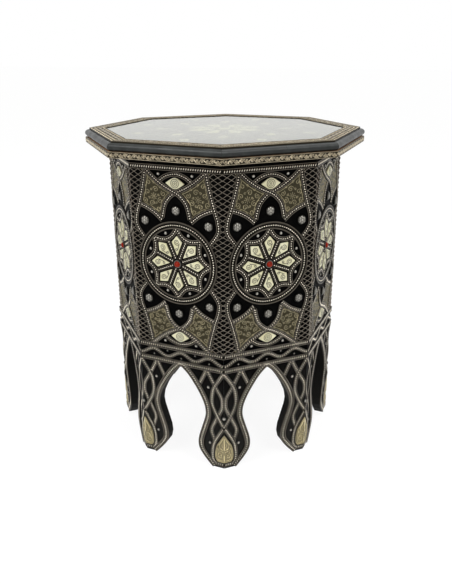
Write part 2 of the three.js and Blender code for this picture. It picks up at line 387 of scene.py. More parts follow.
def worn_and_painted_shade(obj: bpy.types.Object, low: float, high: float, most: float = 1.0) -> bpy.types.Object:
    """Stores how bright each point is rubbed, by its height; on the studs this also paints shade on a
    dome's sides and a highlight on its top.

    Args:
        obj: The mesh.
        low: The height up to which nothing is rubbed.
        high: The height from which the rubbing is strongest.
        most: The strongest rubbing.

    Returns:
        The same object.
    """
    heights = np.empty(len(obj.data.vertices) * 3)
    obj.data.vertices.foreach_get("co", heights)
    values = np.clip((heights[2::3] - low) / (high - low), 0, 1) * most
    attribute = obj.data.attributes.get(WEAR_AND_PAINTED_SHADE) or obj.data.attributes.new(WEAR_AND_PAINTED_SHADE, "FLOAT", "POINT")
    attribute.data.foreach_set("value", values.astype(np.float32))
    return obj


def drawn(name: str, lines: Sequence[Line], closed: bool) -> bpy.types.Object:
    """Draws lines as one flat curve object.

    Args:
        name: The new object's name.
        lines: The lines.
        closed: Whether each line's end joins its start.

    Returns:
        The curve.
    """
    curve = bpy.data.curves.new(name, "CURVE")
    curve.dimensions = "2D"
    curve.fill_mode = "NONE"
    for line in lines:
        spline = curve.splines.new("POLY")
        spline.points.add(len(line) - 1)
        spline.use_cyclic_u = closed
        for place, (x, y) in zip(spline.points, line):
            place.co = (x, y, 0, 1)
    obj = bpy.data.objects.new(name, curve)
    bpy.context.collection.objects.link(obj)
    return obj


def swept(name: str, lines: Sequence[Line], section: Line, closed: bool = False) -> bpy.types.Object:
    """Sweeps a closed section along flat lines, with mitred corners.

    Args:
        name: The new object's name.
        lines: The lines to follow.
        section: The section, across and up.
        closed: Whether each line's end joins its start.

    Returns:
        The mesh.
    """
    path = drawn(name, lines, closed)
    profile = drawn("section", [section], True)
    path.data.bevel_mode = "OBJECT"
    path.data.bevel_object = profile
    path.data.use_fill_caps = True
    only(path)
    bpy.ops.object.convert(target="MESH")
    bpy.data.objects.remove(profile)
    return cleaned(path)


def slab(name: str, outline: Line, bottom: float, top: float, arris: float = 0.0) -> bpy.types.Object:
    """Extrudes an outline to a flat plate with rounded edges.

    Args:
        name: The new object's name.
        outline: The outline, not repeated at its end.
        bottom: The plate's lower height.
        top: Its upper height.
        arris: The width of the rounding.

    Returns:
        The mesh.
    """
    bpy.ops.object.select_all(action="DESELECT")
    bpy.ops.mesh.primitive_circle_add(vertices=len(outline), fill_type="NGON")
    obj = bpy.context.active_object
    obj.name = name
    for vertex, (x, y) in zip(obj.data.vertices, outline):
        vertex.co = (x, y, bottom)
    with editing(obj):
        rise = {"value": (0, 0, top - bottom)}
        bpy.ops.mesh.extrude_region_move(TRANSFORM_OT_translate=rise)
        bpy.ops.mesh.select_all(action="SELECT")
        bpy.ops.mesh.normals_make_consistent(inside=False)
    return rounded(obj, arris) if arris else obj


def dome(name: str, radius: float, height: float, segments: int, rings: int) -> bpy.types.Object:
    """Makes a domed head from the upper half of a sphere.

    Args:
        name: The new object's name.
        radius: The head's radius.
        height: Its height.
        segments: How many faces go round it.
        rings: How many rings the whole sphere would have.

    Returns:
        The mesh.
    """
    bpy.ops.object.select_all(action="DESELECT")
    bpy.ops.mesh.primitive_uv_sphere_add(segments=segments, ring_count=rings, radius=radius)
    obj = bpy.context.active_object
    obj.name = name
    cut(obj, (0, 0, 0), (0, 0, -1))
    with editing(obj):
        bpy.ops.transform.resize(value=(1, 1, height / radius), center_override=(0, 0, 0))
    return obj


def scattered(name: str, model: bpy.types.Object, places: Sequence[Matrix]) -> bpy.types.Object:
    """Copies a model to many places as one mesh.

    Args:
        name: The new object's name.
        model: What is copied; it is kept.
        places: One matrix for each copy.

    Returns:
        The mesh of all the copies.
    """
    points = np.array([[*v.co, 1] for v in model.data.vertices])
    faces = [np.array(p.vertices) for p in model.data.polygons]
    copies = np.concatenate([points @ np.array(m).T for m in places])[:, :3]
    mesh = bpy.data.meshes.new(name)
    shifts = [i * len(points) for i in range(len(places))]
    mesh.from_pydata(copies.tolist(), [], [(f + s).tolist() for s in shifts for f in faces])
    wear_and_painted_shade = model.data.attributes.get(WEAR_AND_PAINTED_SHADE)
    if wear_and_painted_shade:
        values = [entry.value for entry in wear_and_painted_shade.data] * len(places)
        mesh.attributes.new(WEAR_AND_PAINTED_SHADE, "FLOAT", "POINT").data.foreach_set("value", values)
    obj = bpy.data.objects.new(name, mesh)
    bpy.context.collection.objects.link(obj)
    return obj


def shaded(obj: bpy.types.Object) -> bpy.types.Object:
    """Shades an object smooth apart from its sharp edges.

    Args:
        obj: The mesh.

    Returns:
        The same object.
    """
    only(obj)
    bpy.ops.object.shade_smooth_by_angle(angle=math.radians(SHARP_ANGLE))
    return obj


def placed(x: float, y: float, z: float, degrees: float = 0, size: float = 1) -> Matrix:
    """Gives the matrix of one flat copy."""
    spin = Matrix.Rotation(math.radians(degrees), 4, "Z")
    return Matrix.Translation((x, y, z)) @ spin @ Matrix.Scale(size, 4)


def on_face(apothem: float, index: float) -> Matrix:
    """Gives the matrix that stands flat work on a face of the stool.

    Args:
        apothem: The distance of the work's z = 0 from the axis, in millimetres.
        index: The face's number from 0, or halfway between two for a corner.

    Returns:
        The matrix from flat millimetres to the stool's metres.
    """
    spin = Matrix.Rotation(math.radians(TURN * index), 4, "Z")
    upright = Matrix.Rotation(math.pi / 2, 4, "X")
    return spin @ Matrix.Scale(MM, 4) @ Matrix.Translation((0, -apothem, 0)) @ upright


def finished(
    obj: bpy.types.Object,
    material: bpy.types.Material,
    nodes: Sequence[str] = (),
) -> None:
    """Gives a placed piece its material, its body and its place in the record.

    Args:
        obj: The piece.
        material: Its material.
        nodes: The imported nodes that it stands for.
    """
    obj.data.materials.clear()
    obj.data.materials.append(material)
    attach(obj, BODY)
    if nodes:
        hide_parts(*nodes)
    log.info("%s: %d faces", obj.name, len(obj.data.polygons))


def laid(
    obj: bpy.types.Object, material: bpy.types.Material, nodes: Sequence[str] = ()
) -> None:
    """Places flat work of the top, which is drawn at its own height."""
    obj.data.transform(Matrix.Scale(MM, 4))
    finished(shaded(obj), material, nodes)


def spread(
    obj: bpy.types.Object,
    material: bpy.types.Material,
    apothem: float,
    node: str = "",
    offset: float = 0.0,
) -> None:
    """Copies the work of one face to all faces, each copy with its own mesh.

    Args:
        obj: The flat work, which is used up.
        material: Its material.
        apothem: The distance of its z = 0 from the axis.
        node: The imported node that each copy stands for, without its number.
        offset: 0.5 for work that sits on the corners.
    """
    shaded(obj)
    name = obj.name
    obj.name = "pattern"
    for index in range(SIDES):
        piece = bpy.data.objects.new(f"{name}_{index + 1}", obj.data.copy())
        bpy.context.collection.objects.link(piece)
        piece.data.transform(on_face(apothem, index + offset))
        finished(piece, material, [f"{node}_{index + 1}"] if node else [])
    bpy.data.objects.remove(obj)


class Recipe:
    """A material under construction: its nodes, its links and its shader."""

    NOISE_ROUGHNESS = 0.6

    def __init__(self, name: str) -> None:
        """Starts a material with an empty principled shader.

        Args:
            name: The material's name.
        """
        self.material = bpy.data.materials.new(name)
        self.material.use_nodes = True
        self.tree = self.material.node_tree
        self.shader = self.tree.nodes["Principled BSDF"]
        self.place = self.node("ShaderNodeTexCoord").outputs["Object"]

    def node(self, kind: str, **settings: object) -> bpy.types.Node:
        """Adds a node.

        Args:
            kind: Blender's name for the kind of node.
            settings: Its own settings and its inputs' values, by name.

        Returns:
            The node.
        """
        node = self.tree.nodes.new(kind)
        for name, value in settings.items():
            if name in node.inputs:
                node.inputs[name].default_value = value
            else:
                setattr(node, name, value)
        return node

    def link(self, source: bpy.types.NodeSocket, target: bpy.types.NodeSocket) -> None:
        """Links two sockets."""
        self.tree.links.new(source, target)

    def set(self, **values: object) -> None:
        """Sets constants on the shader, with spaces in names written as underscores."""
        for name, value in values.items():
            self.shader.inputs[name.replace("_", " ")].default_value = value

    def noise(self, scale: float, detail: float = 4) -> bpy.types.NodeSocket:
        """Adds a noise on the piece's own place.

        Args:
            scale: Its cycles per metre.
            detail: Its octaves.

        Returns:
            The noise.
        """
        roughness = self.NOISE_ROUGHNESS
        node = self.node("ShaderNodeTexNoise", Scale=scale, Detail=detail, Roughness=roughness)
        self.link(self.place, node.inputs["Vector"])
        return node.outputs["Fac"]

    def spread(
        self, source: bpy.types.NodeSocket, low: float, high: float, to_low: float, to_high: float
    ) -> bpy.types.NodeSocket:
        """Maps a value from one range to another.

        Args:
            source: The value.
            low: The start of its range.
            high: The end of its range.
            to_low: What the start becomes.
            to_high: What the end becomes.

        Returns:
            The mapped value.
        """
        node = self.node("ShaderNodeMapRange")
        self.link(source, node.inputs["Value"])
        ends = {"From Min": low, "From Max": high, "To Min": to_low, "To Max": to_high}
        for name, value in ends.items():
            node.inputs[name].default_value = value
        return node.outputs["Result"]

    def maths(
        self, operation: str, one: bpy.types.NodeSocket, other: bpy.types.NodeSocket
    ) -> bpy.types.NodeSocket:
        """Calculates with two values.

        Args:
            operation: Blender's name for what is done with them.
            one: The first value.
            other: The second value.

        Returns:
            The result.
        """
        node = self.node("ShaderNodeMath", operation=operation)
        self.link(one, node.inputs[0])
        self.link(other, node.inputs[1])
        return node.outputs[0]

    def blend(self, factor: bpy.types.NodeSocket, low: Colour, high: Colour) -> bpy.types.NodeSocket:
        """Mixes two colours by a factor.

        Args:
            factor: How much of the second colour there is.
            low: The first colour.
            high: The second colour.

        Returns:
            The mixed colour.
        """
        node = self.node("ShaderNodeMix", data_type="RGBA")
        self.link(factor, node.inputs["Factor"])
        colours = [socket for socket in node.inputs if socket.type == "RGBA"]
        colours[0].default_value = (*low, 1)
        colours[1].default_value = (*high, 1)
        return next(socket for socket in node.outputs if socket.type == "RGBA")

    def layer(
        self, factor: bpy.types.NodeSocket, under: bpy.types.NodeSocket, over: Colour
    ) -> bpy.types.NodeSocket:
        """Lays a colour over a mixed one by a factor.

        Args:
            factor: How much of the upper colour there is.
            under: The mixed colour.
            over: The upper colour.

        Returns:
            The mixed colour.
        """
        mixed = self.blend(factor, over, over)
        self.link(under, [socket for socket in mixed.node.inputs if socket.type == "RGBA"][0])
        return mixed

    def height(self) -> bpy.types.NodeSocket:
        """Gives the height over the floor.

        Returns:
            The height in metres.
        """
        node = self.node("ShaderNodeSeparateXYZ")
        self.link(self.place, node.inputs[0])
        return node.outputs["Z"]

    def colour(self, source: bpy.types.NodeSocket) -> None:
        """Sends a colour to the shader."""
        self.link(source, self.shader.inputs["Base Color"])

    def roughness(self, source: bpy.types.NodeSocket) -> None:
        """Sends a roughness to the shader."""
        self.link(source, self.shader.inputs["Roughness"])

    def cloudy(self, scale: float, smoothest: float, roughest: float) -> None:
        """Sends a roughness to the shader that changes in clouds."""
        self.roughness(self.spread(self.noise(scale), *EVEN, smoothest, roughest))

    def bump(self, height: bpy.types.NodeSocket, depth: float, strength: float) -> None:
        """Sends a bump to the shader.

        Args:
            height: The height of the surface, from 0 to 1.
            depth: Its depth in metres.
            strength: How much of it shows.
        """
        node = self.node("ShaderNodeBump", Strength=strength, Distance=depth)
        self.link(height, node.inputs["Height"])
        self.link(node.outputs["Normal"], self.shader.inputs["Normal"])


@dataclass(frozen=True)
class AntiqueMetal:
    """Pressed sheet metal, dark with age in its hollows and rubbed bright on its crests."""

    name: str
    crest: Colour
    hollow: Colour
    tarnish: float = 0.3
    smoothest: float = 0.2
    roughest: float = 0.5
    clouds: float = 0.12
    patch_scale: float = 120
    cloud_scale: float = 900
    dent_scale: float = 1400
    dent_detail: float = 3
    dent_depth: float = 0.0002
    dent_strength: float = 0.35
    dulled: float = 0.5

    def build(self) -> bpy.types.Material:
        """Makes the material.

        Returns:
            The material.
        """
        recipe = Recipe(self.name)
        wear_and_painted_shade = recipe.node("ShaderNodeAttribute", attribute_name=WEAR_AND_PAINTED_SHADE, attribute_type="GEOMETRY")
        clean = recipe.spread(recipe.noise(self.patch_scale), *PATCHY, 1, 1 - self.tarnish)
        bright = recipe.maths("MULTIPLY", wear_and_painted_shade.outputs["Fac"], clean)
        recipe.colour(recipe.blend(bright, self.hollow, self.crest))
        dull = recipe.spread(bright, 0, self.dulled, self.roughest, self.smoothest)
        clouds = recipe.spread(recipe.noise(self.cloud_scale), *EVEN, 0, self.clouds)
        recipe.roughness(recipe.maths("ADD", dull, clouds))
        dents = recipe.noise(self.dent_scale, self.dent_detail)
        recipe.bump(dents, self.dent_depth, self.dent_strength)
        recipe.set(Metallic=1.0)
        return recipe.material


@dataclass(frozen=True)
class Bone:
    """Polished camel bone with faint streaks and a yellowed tone in places."""

    name: str = "camel_bone"
    pale: Colour = (0.70, 0.675, 0.475)
    yellow: Colour = (0.54, 0.5, 0.27)
    tone_scale: float = 55
    tone_most: float = 0.7
    streak_scale: float = 700
    streak_range: Pair = (0.5, 0.8)
    streak_most: float = 0.35
    grain_scale: float = 900
    grain_detail: float = 2
    grain_depth: float = 0.0001
    grain_strength: float = 0.3
    cloud_scale: float = 400
    smoothest: float = 0.32
    roughest: float = 0.5

    def build(self) -> bpy.types.Material:
        """Makes the material.

        Returns:
            The material.
        """
        recipe = Recipe(self.name)
        tone = recipe.spread(recipe.noise(self.tone_scale), *PATCHY, 0, self.tone_most)
        lines = recipe.noise(self.streak_scale, self.grain_detail)
        streaks = recipe.spread(lines, *self.streak_range, 0, self.streak_most)
        recipe.colour(recipe.blend(recipe.maths("ADD", tone, streaks), self.pale, self.yellow))
        recipe.cloudy(self.cloud_scale, self.smoothest, self.roughest)
        grain = recipe.noise(self.grain_scale, self.grain_detail)
        recipe.bump(grain, self.grain_depth, self.grain_strength)
        return recipe.material


@dataclass(frozen=True)
class Leather:
    """Black dyed leather with a fine grain."""

    name: str = "black_dyed_leather"
    dark: Colour = (0.0008, 0.0008, 0.0008)
    scuffed: Colour = (0.003, 0.003, 0.0028)
    # Greyer black that the leather turns to towards the floor, from the height given next down to the floor
    lower_grey: Colour = (0.019, 0.0185, 0.017)
    lower_grey_top: float = 0.19
    gloss: float = 0.02
    scuff_scale: float = 60
    grain_scale: float = 1400
    grain_depth: float = 0.0001
    grain_strength: float = 0.4
    cloud_scale: float = 500
    smoothest: float = 0.45
    roughest: float = 0.7

    def build(self) -> bpy.types.Material:
        """Makes the material.

        Returns:
            The material.
        """
        recipe = Recipe(self.name)
        scuffs = recipe.spread(recipe.noise(self.scuff_scale), *SPOTTED, 0, 1)
        # Greyer towards the floor: the lower a point, the more of the greyer black
        lower_grey_share = recipe.spread(recipe.height(), self.lower_grey_top, 0, 0, 1)
        black = recipe.blend(scuffs, self.dark, self.scuffed)
        recipe.colour(recipe.layer(lower_grey_share, black, self.lower_grey))
        recipe.set(Specular_IOR_Level=self.gloss)
        grain = recipe.node("ShaderNodeTexVoronoi", Scale=self.grain_scale)
        recipe.link(recipe.place, grain.inputs["Vector"])
        recipe.cloudy(self.cloud_scale, self.smoothest, self.roughest)
        recipe.bump(grain.outputs["Distance"], self.grain_depth, self.grain_strength)
        return recipe.material


@dataclass(frozen=True)
class Lacquer:
    """Satin black lacquer over turned wood, with rubbed spots and faint brush lines."""

    name: str = "satin_black_lacquer"
    dark: Colour = (0.01, 0.012, 0.011)
    rubbed: Colour = (0.034, 0.038, 0.036)
    gloss: float = 0.3
    rub_scale: float = 35
    cloud_scale: float = 90
    smoothest: float = 0.3
    roughest: float = 0.46
    brush_scale: float = 260
    brush_depth: float = 0.0003
    brush_strength: float = 0.2

    def build(self) -> bpy.types.Material:
        """Makes the material.

        Returns:
            The material.
        """
        recipe = Recipe(self.name)
        rubs = recipe.spread(recipe.noise(self.rub_scale), *SPOTTED, 0, 1)
        recipe.colour(recipe.blend(rubs, self.dark, self.rubbed))
        recipe.set(Specular_IOR_Level=self.gloss)
        recipe.cloudy(self.cloud_scale, self.smoothest, self.roughest)
        recipe.bump(recipe.noise(self.brush_scale), self.brush_depth, self.brush_strength)
        return recipe.material


@dataclass(frozen=True)
class Wood:
    """Plain sawn wood with its grain along one axis."""

    name: str = "sawn_wood"
    pale: Colour = (0.34, 0.2, 0.1)
    dark: Colour = (0.16, 0.085, 0.04)
    stretch: tuple[float, float, float] = (60, 6, 60)
    grain_scale: float = 3.0
    grain_detail: float = 8.0
    grain_waver: float = 0.8
    fibre_range: Pair = (0.35, 0.65)
    smoothest: float = 0.65
    roughest: float = 0.85
    grain_depth: float = 0.0006
    grain_strength: float = 0.6

    def build(self) -> bpy.types.Material:
        """Makes the material.

        Returns:
            The material.
        """
        recipe = Recipe(self.name)
        stretch = recipe.node("ShaderNodeMapping", Scale=self.stretch)
        recipe.link(recipe.place, stretch.inputs["Vector"])
        grain = recipe.node(
            "ShaderNodeTexNoise",
            Scale=self.grain_scale,
            Detail=self.grain_detail,
            Distortion=self.grain_waver,
        )
        recipe.link(stretch.outputs["Vector"], grain.inputs["Vector"])
        fibre = recipe.spread(grain.outputs["Fac"], *self.fibre_range, 0, 1)
        recipe.colour(recipe.blend(fibre, self.dark, self.pale))
        recipe.roughness(recipe.spread(fibre, 0, 1, self.roughest, self.smoothest))
        recipe.bump(grain.outputs["Fac"], self.grain_depth, self.grain_strength)
        return recipe.material


@dataclass(frozen=True)
class Plain:
    """A simple finish with slight cloudiness, for stones and engraved lines."""

    name: str
    colour: Colour
    roughness: float
    gloss: float = 0.5
    cloudy: float = 1.5
    cloud_scale: float = 300

    def build(self) -> bpy.types.Material:
        """Makes the material.

        Returns:
            The material.
        """
        recipe = Recipe(self.name)
        clouds = recipe.spread(recipe.noise(self.cloud_scale), *EVEN, 0, 1)
        paler = tuple(min(1.0, channel * self.cloudy) for channel in self.colour)
        recipe.colour(recipe.blend(clouds, self.colour, paler))
        recipe.set(Roughness=self.roughness, Specular_IOR_Level=self.gloss)
        return recipe.material


@dataclass(frozen=True)
class Glass:
    """Clear float glass with a green cast."""

    name: str = "float_glass"
    tint: Colour = (0.88, 0.9, 0.74)
    refraction: float = 1.5
    cloud_scale: float = 30
    smoothest: float = 0.05
    roughest: float = 0.09

    def build(self) -> bpy.types.Material:
        """Makes the material.

        Returns:
            The material.
        """
        recipe = Recipe(self.name)
        recipe.set(Transmission_Weight=1.0, IOR=self.refraction, Base_Color=(*self.tint, 1))
        recipe.cloudy(self.cloud_scale, self.smoothest, self.roughest)
        return recipe.material


@dataclass(frozen=True)
class Finishes:
    """Every finish of the stool, made once."""

    strap: bpy.types.Material
    bead: bpy.types.Material
    stud: bpy.types.Material
    plate: bpy.types.Material
    frieze: bpy.types.Material
    leaf: bpy.types.Material
    bone: bpy.types.Material
    # A brighter copy of the bone for the panel under the glass: painted light for the light the glass keeps
    # from it
    panel_bone: bpy.types.Material
    resin: bpy.types.Material
    engraving: bpy.types.Material
    leather: bpy.types.Material
    lacquer: bpy.types.Material
    wood: bpy.types.Material
    stone: bpy.types.Material
    glass: bpy.types.Material

    @classmethod
    def mixed(cls) -> "Finishes":
        """Makes all the materials.

        Returns:
            The finishes.
        """
        age = (0.01, 0.009, 0.007)
        return cls(
            strap=AntiqueMetal("antiqued_white_metal", (0.58, 0.51, 0.41), age).build(),
            bead=AntiqueMetal(
                "rubbed_bead_metal", (0.9, 0.83, 0.69), age, tarnish=0.25, smoothest=0.16
            ).build(),
            # The studs' domes carry painted shade on their sides and a painted highlight on top, through
            # the wear attribute
            stud=AntiqueMetal(
                "polished_stud_metal",
                (0.46, 0.44, 0.39),
                (0.005, 0.005, 0.004),
                tarnish=0.2,
                smoothest=0.15,
                roughest=0.3,
                clouds=0.05,
            ).build(),
            plate=AntiqueMetal(
                "olive_brass", (0.48, 0.42, 0.26), (0.026, 0.023, 0.014), tarnish=0.5
            ).build(),
            frieze=AntiqueMetal("warm_pressed_metal", (0.56, 0.48, 0.34), (0.012, 0.01, 0.007)).build(),
            leaf=AntiqueMetal("pale_brass", (0.74, 0.64, 0.38), (0.04, 0.032, 0.015)).build(),
            bone=Bone().build(),
            # Brighter copy of the bone, painted light for the light the glass keeps from the panel
            panel_bone=Bone("bone_painted_light", pale=(0.95, 0.93, 0.7), yellow=(0.85, 0.8, 0.45)).build(),
            resin=Plain(
                "black_resin", (0.004, 0.004, 0.0035), roughness=0.5, gloss=0.1, cloudy=2
            ).build(),
            engraving=Plain("engraved_line", (0.03, 0.028, 0.022), roughness=0.7).build(),
            leather=Leather().build(),
            lacquer=Lacquer().build(),
            wood=Wood().build(),
            stone=Plain(
                "red_cabochon", (0.12, 0.006, 0.001), roughness=0.16, gloss=0.12, cloudy=2.8
            ).build(),
            glass=Glass().build(),
        )


@dataclass(frozen=True)
class Sizes:
    """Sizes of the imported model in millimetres, from which every piece takes its place."""

    apothem: float
    strap_top: float
    rosette: float
    rim: float
    nosing: Pair
    frieze: Pair
    border: Pair
    border_outer: float
    panel: Pair
    panel_apothem: float
    leaf: Pair
    stone: float

    @property
    def half(self) -> float:
        """Half of a face's width."""
        return self.apothem * SLOPE

    @classmethod
    def measured(cls) -> "Sizes":
        """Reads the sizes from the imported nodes.

        Returns:
            The sizes.
        """

        def heights(node: str) -> Pair:
            """Gives the lower and the upper height of a node."""
            low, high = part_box(node)
            return low.z / MM, high.z / MM

        stone_low, stone_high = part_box("stone_1")
        return cls(
            apothem=-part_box("side_panel_1")[0].y / MM,
            strap_top=heights("strapwork_1")[1],
            rosette=sum(heights("stone_1")) / 2,
            rim=-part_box("rim_moulding_1")[0].y / MM,
            nosing=heights("rim_moulding_1"),
            frieze=heights("frieze_strip_1"),
            border=heights("top_border"),
            border_outer=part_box("top_border")[1].y / MM,
            panel=heights("inlaid_top"),
            panel_apothem=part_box("inlaid_top")[1].y / MM,
            leaf=heights("foot_leaf_1"),
            stone=(stone_high.x - stone_low.x) / 2 / MM,
        )


@dataclass(frozen=True)
class Relief:
    """Heights of pressed straps that are laid over one another."""

    floor: float = 0.6
    rise: float = 0.45
    step: float = 0.47

    def ground(self, layer: Layer) -> float:
        """Gives the height of a strap's channel."""
        return self.floor + self.step * layer

    def crest(self, layer: Layer) -> float:
        """Gives the height of a strap's rims."""
        return self.ground(layer) + self.rise


@dataclass(frozen=True)
class Strap:
    """One pressed strap: the line that it follows and how it is pressed."""

    line: Line
    layer: Layer = Layer.LOW
    width: float = 6.8
    rim: float = 1.4
    mark: Mark = Mark.BEAD
    closed: bool = False
    rub: float = 0.22


@dataclass
class StrapPress:
    """Presses straps: two rims, a channel between them and marks along it."""

    relief: Relief = field(default_factory=Relief)
    rim_angles: tuple[float, ...] = (25, 60, 95, 130)
    bead_radius: float = 0.95
    bead_pitch: float = 3.6
    bar_length: float = 4.0
    bar_width: float = 1.2
    bar_pitch: float = 3.6
    bar_slant: float = 72
    mark_facets: tuple[int, int] = (8, 6)
    mark_rub: Pair = (-0.1, 0.3)

    def section(self, strap: Strap) -> Line:
        """Draws a strap's section, across and up.

        Args:
            strap: The strap.

        Returns:
            The closed section.
        """
        edge = strap.width / 2
        ground = self.relief.ground(strap.layer)
        right = [(edge, 0)]
        for angle in self.rim_angles:
            across, up = polar(1, angle)
            right.append((edge - strap.rim * (1 - across) / 2, ground + self.relief.rise * up))
        right.append((edge - strap.rim, ground))
        return symmetric(right)

    def bands(self, straps: Sequence[Strap]) -> bpy.types.Object:
        """Sweeps all straps and joins them.

        Args:
            straps: The straps.

        Returns:
            One mesh of all the straps.
        """
        parts = []
        for strap in straps:
            band = swept("band", [strap.line], self.section(strap), strap.closed)
            low, high = self.relief.ground(strap.layer), self.relief.crest(strap.layer)
            parts.append(worn_and_painted_shade(band, low, high, strap.rub))
        return joined("bands", parts)

    def marks(self, straps: Sequence[Strap], inside: Callable[[float, float], bool]) -> bpy.types.Object:
        """Presses the marks of all straps.

        Args:
            straps: The straps.
            inside: Says whether there is room for a mark at a place.

        Returns:
            One mesh of all the marks.
        """
        height = self.relief.rise
        low, high = self.mark_rub
        bead = worn_and_painted_shade(dome("bead", self.bead_radius, height, *self.mark_facets), low, height * high)
        bar = worn_and_painted_shade(dome("bar", self.bar_length / 2, height, *self.mark_facets), low, height * high)
        with editing(bar):
            squeeze = self.bar_width / self.bar_length
            bpy.ops.transform.resize(value=(1, squeeze, 1), center_override=(0, 0, 0))
        kinds = {Mark.BEAD: (bead, self.bead_pitch, 0), Mark.BAR: (bar, self.bar_pitch, self.bar_slant)}
        parts = []
        for mark, (model, pitch, slant) in kinds.items():
            places = [
                placed(x, y, self.relief.ground(strap.layer), angle + slant)
                for strap in straps if strap.mark == mark
                for x, y, angle in walk(strap.line, pitch, strap.closed) if inside(x, y)
            ]
            if places:
                parts.append(scattered("marks", model, places))
            bpy.data.objects.remove(model)
        return joined("marks", parts)


@dataclass
class FaceField:
    """Where the straps of one face run, in flat millimetres from the foot of its middle line."""

    sizes: Sizes
    band: float = 8.0
    wave_band: float = 16.0
    waves: int = 3
    wave_width: float = 6.0
    wave_rim: float = 0.9
    wave_steps: int = 20
    arch_height: float = 171.0
    arch_strap: float = 9.5
    arch_rim: float = 2.2
    arch_rub: float = 0.24
    arch_clearance: float = 1.0
    ring_margin: float = 8.0
    ring_width: float = 11.0
    ring_rim: float = 2.2
    ring_rub: float = 0.17
    ring_points: int = 96
    star_lap: float = 1.5
    star_waist_share: float = 0.76
    star_steps: int = 8
    spoke_width: float = 6.0
    spoke_rim: float = 1.0
    spoke_rub: float = 0.12
    spoke_start: float = 7.5
    leg_rub: float = 0.18
    lap: float = 3.0
    leg_pitch: float = 2.5
    field_pitch: float = 3.0
    edge_step: float = 1.0
    edge_pitch: float = 2.0
    edge_slack: float = 0.1
    edge_least: int = 6
    side_margin: float = 0.6
    foot_margin: float = 2.0
    arch_shares: tuple[Point, ...] = (
        (0, 1), (0.16, 0.937), (0.3, 0.857), (0.44, 0.76), (0.54, 0.665), (0.573, 0.585), (0.55, 0.52),
        (0.47, 0.41), (0.4, 0.31), (0.38, 0.235), (0.415, 0.165), (0.545, 0.085), (0.73, 0),
    )
    ogive_shares: tuple[Point, ...] = (
        (0.31, 0.505), (0.24, 0.65), (0.115, 0.735), (0, 0.775),
        (-0.22, 0.83), (-0.45, 0.91), (-0.7, 1.03),
    )
    side_shares: tuple[Point, ...] = ((0.655, 1.03), (0.72, 0.85), (0.825, 0.64), (0.905, 0.5), (0.9, 0.38))
    side_end_share: float = 0.7
    shoulder_shares: tuple[Point, ...] = ((0.32, 0.47), (0.5, 0.55), (0.68, 0.6), (0.84, 0.63))
    eye_shares: tuple[Point, ...] = ((0.42, 0.86), (0.27, 0.925), (0.14, 0.957), (0, 0.97))
    outer_leg_shares: tuple[Point, ...] = (
        (1.03, 1.02), (0.79, 0.863), (0.73, 0.77), (0.73, 0.67), (0.87, 0.54), (1.03, 0.425),
    )
    inner_leg_shares: tuple[Point, ...] = (
        (0.6, 1.02), (0.79, 0.865), (0.94, 0.76), (0.967, 0.69),
        (0.94, 0.63), (0.745, 0.455), (0.705, 0.39), (0.79, 0.28),
    )
    brace_shares: tuple[Point, ...] = ((0.61, 1.02), (0.42, 0.85))
    leaf_half: float = 14.5
    leaf_margin: float = 4.5
    leaf_peak: float = 14.0
    leaf_shares: tuple[Point, ...] = (
        (0, 1), (0.24, 0.89), (0.52, 0.75), (0.82, 0.59), (1, 0.36), (0.99, 0.12), (0.75, 0),
    )

    @property
    def top(self) -> float:
        """Height of the top of the field."""
        return self.sizes.strap_top - self.band

    @property
    def reach(self) -> float:
        """Half of the field's height."""
        return self.top - self.sizes.rosette

    @property
    def bottom(self) -> float:
        """Height of the bottom of the field."""
        return self.sizes.rosette - self.reach

    @property
    def ring(self) -> float:
        """Outer radius of the ring."""
        return self.sizes.half - self.ring_margin

    @property
    def star_tip(self) -> float:
        """Radius of the star's points."""
        return self.ring - self.ring_width + self.star_lap

    @property
    def star_waist(self) -> float:
        """Radius of the star between its points."""
        return (self.ring - self.ring_width) * self.star_waist_share

    def field_places(self, shares: Sequence[Point]) -> Line:
        """Gives places in the field, from the rosette's middle."""
        return scaled(shares, self.sizes.half, self.reach)

    def leg_places(self, shares: Sequence[Point]) -> Line:
        """Gives places on the right leg."""
        return scaled(shares, self.sizes.half, self.arch_height)

    def arch(self) -> Line:
        """Draws the arch from its left foot over its apex to its right foot."""
        half = curved(self.leg_places(self.arch_shares), self.leg_pitch)
        return [*reversed(mirrored(half)), *half[1:]]

    def star(self, tip: float, waist: float) -> Line:
        """Draws an eight-pointed star with hollow sides.

        Args:
            tip: The radius of its points.
            waist: The radius between them.

        Returns:
            The closed outline.
        """
        line = []
        for i in range(SIDES):
            start, end = (np.array(polar(tip, TURN * (i + k))) for k in (0, 1))
            inward = np.array(polar(1, TURN * (i + 0.5)))
            sag = tip / CORNER - waist
            for t in np.arange(self.star_steps) / self.star_steps:
                line.append(tuple(start * (1 - t) + end * t - inward * 4 * sag * t * (1 - t)))
        return line

    def leaf_outline(self, margin: float, peak: float) -> Line:
        """Draws half of the foot's leaf, or of the strap round it, from its tip down.

        Args:
            margin: How far the line runs outside the leaf.
            peak: How much higher its tip is.

        Returns:
            The open line.
        """
        low, high = self.sizes.leaf
        size = scaled(self.leaf_shares, self.leaf_half + margin, high - low + peak + margin)
        return curved(moved(size, 0, low - margin), self.leg_pitch)

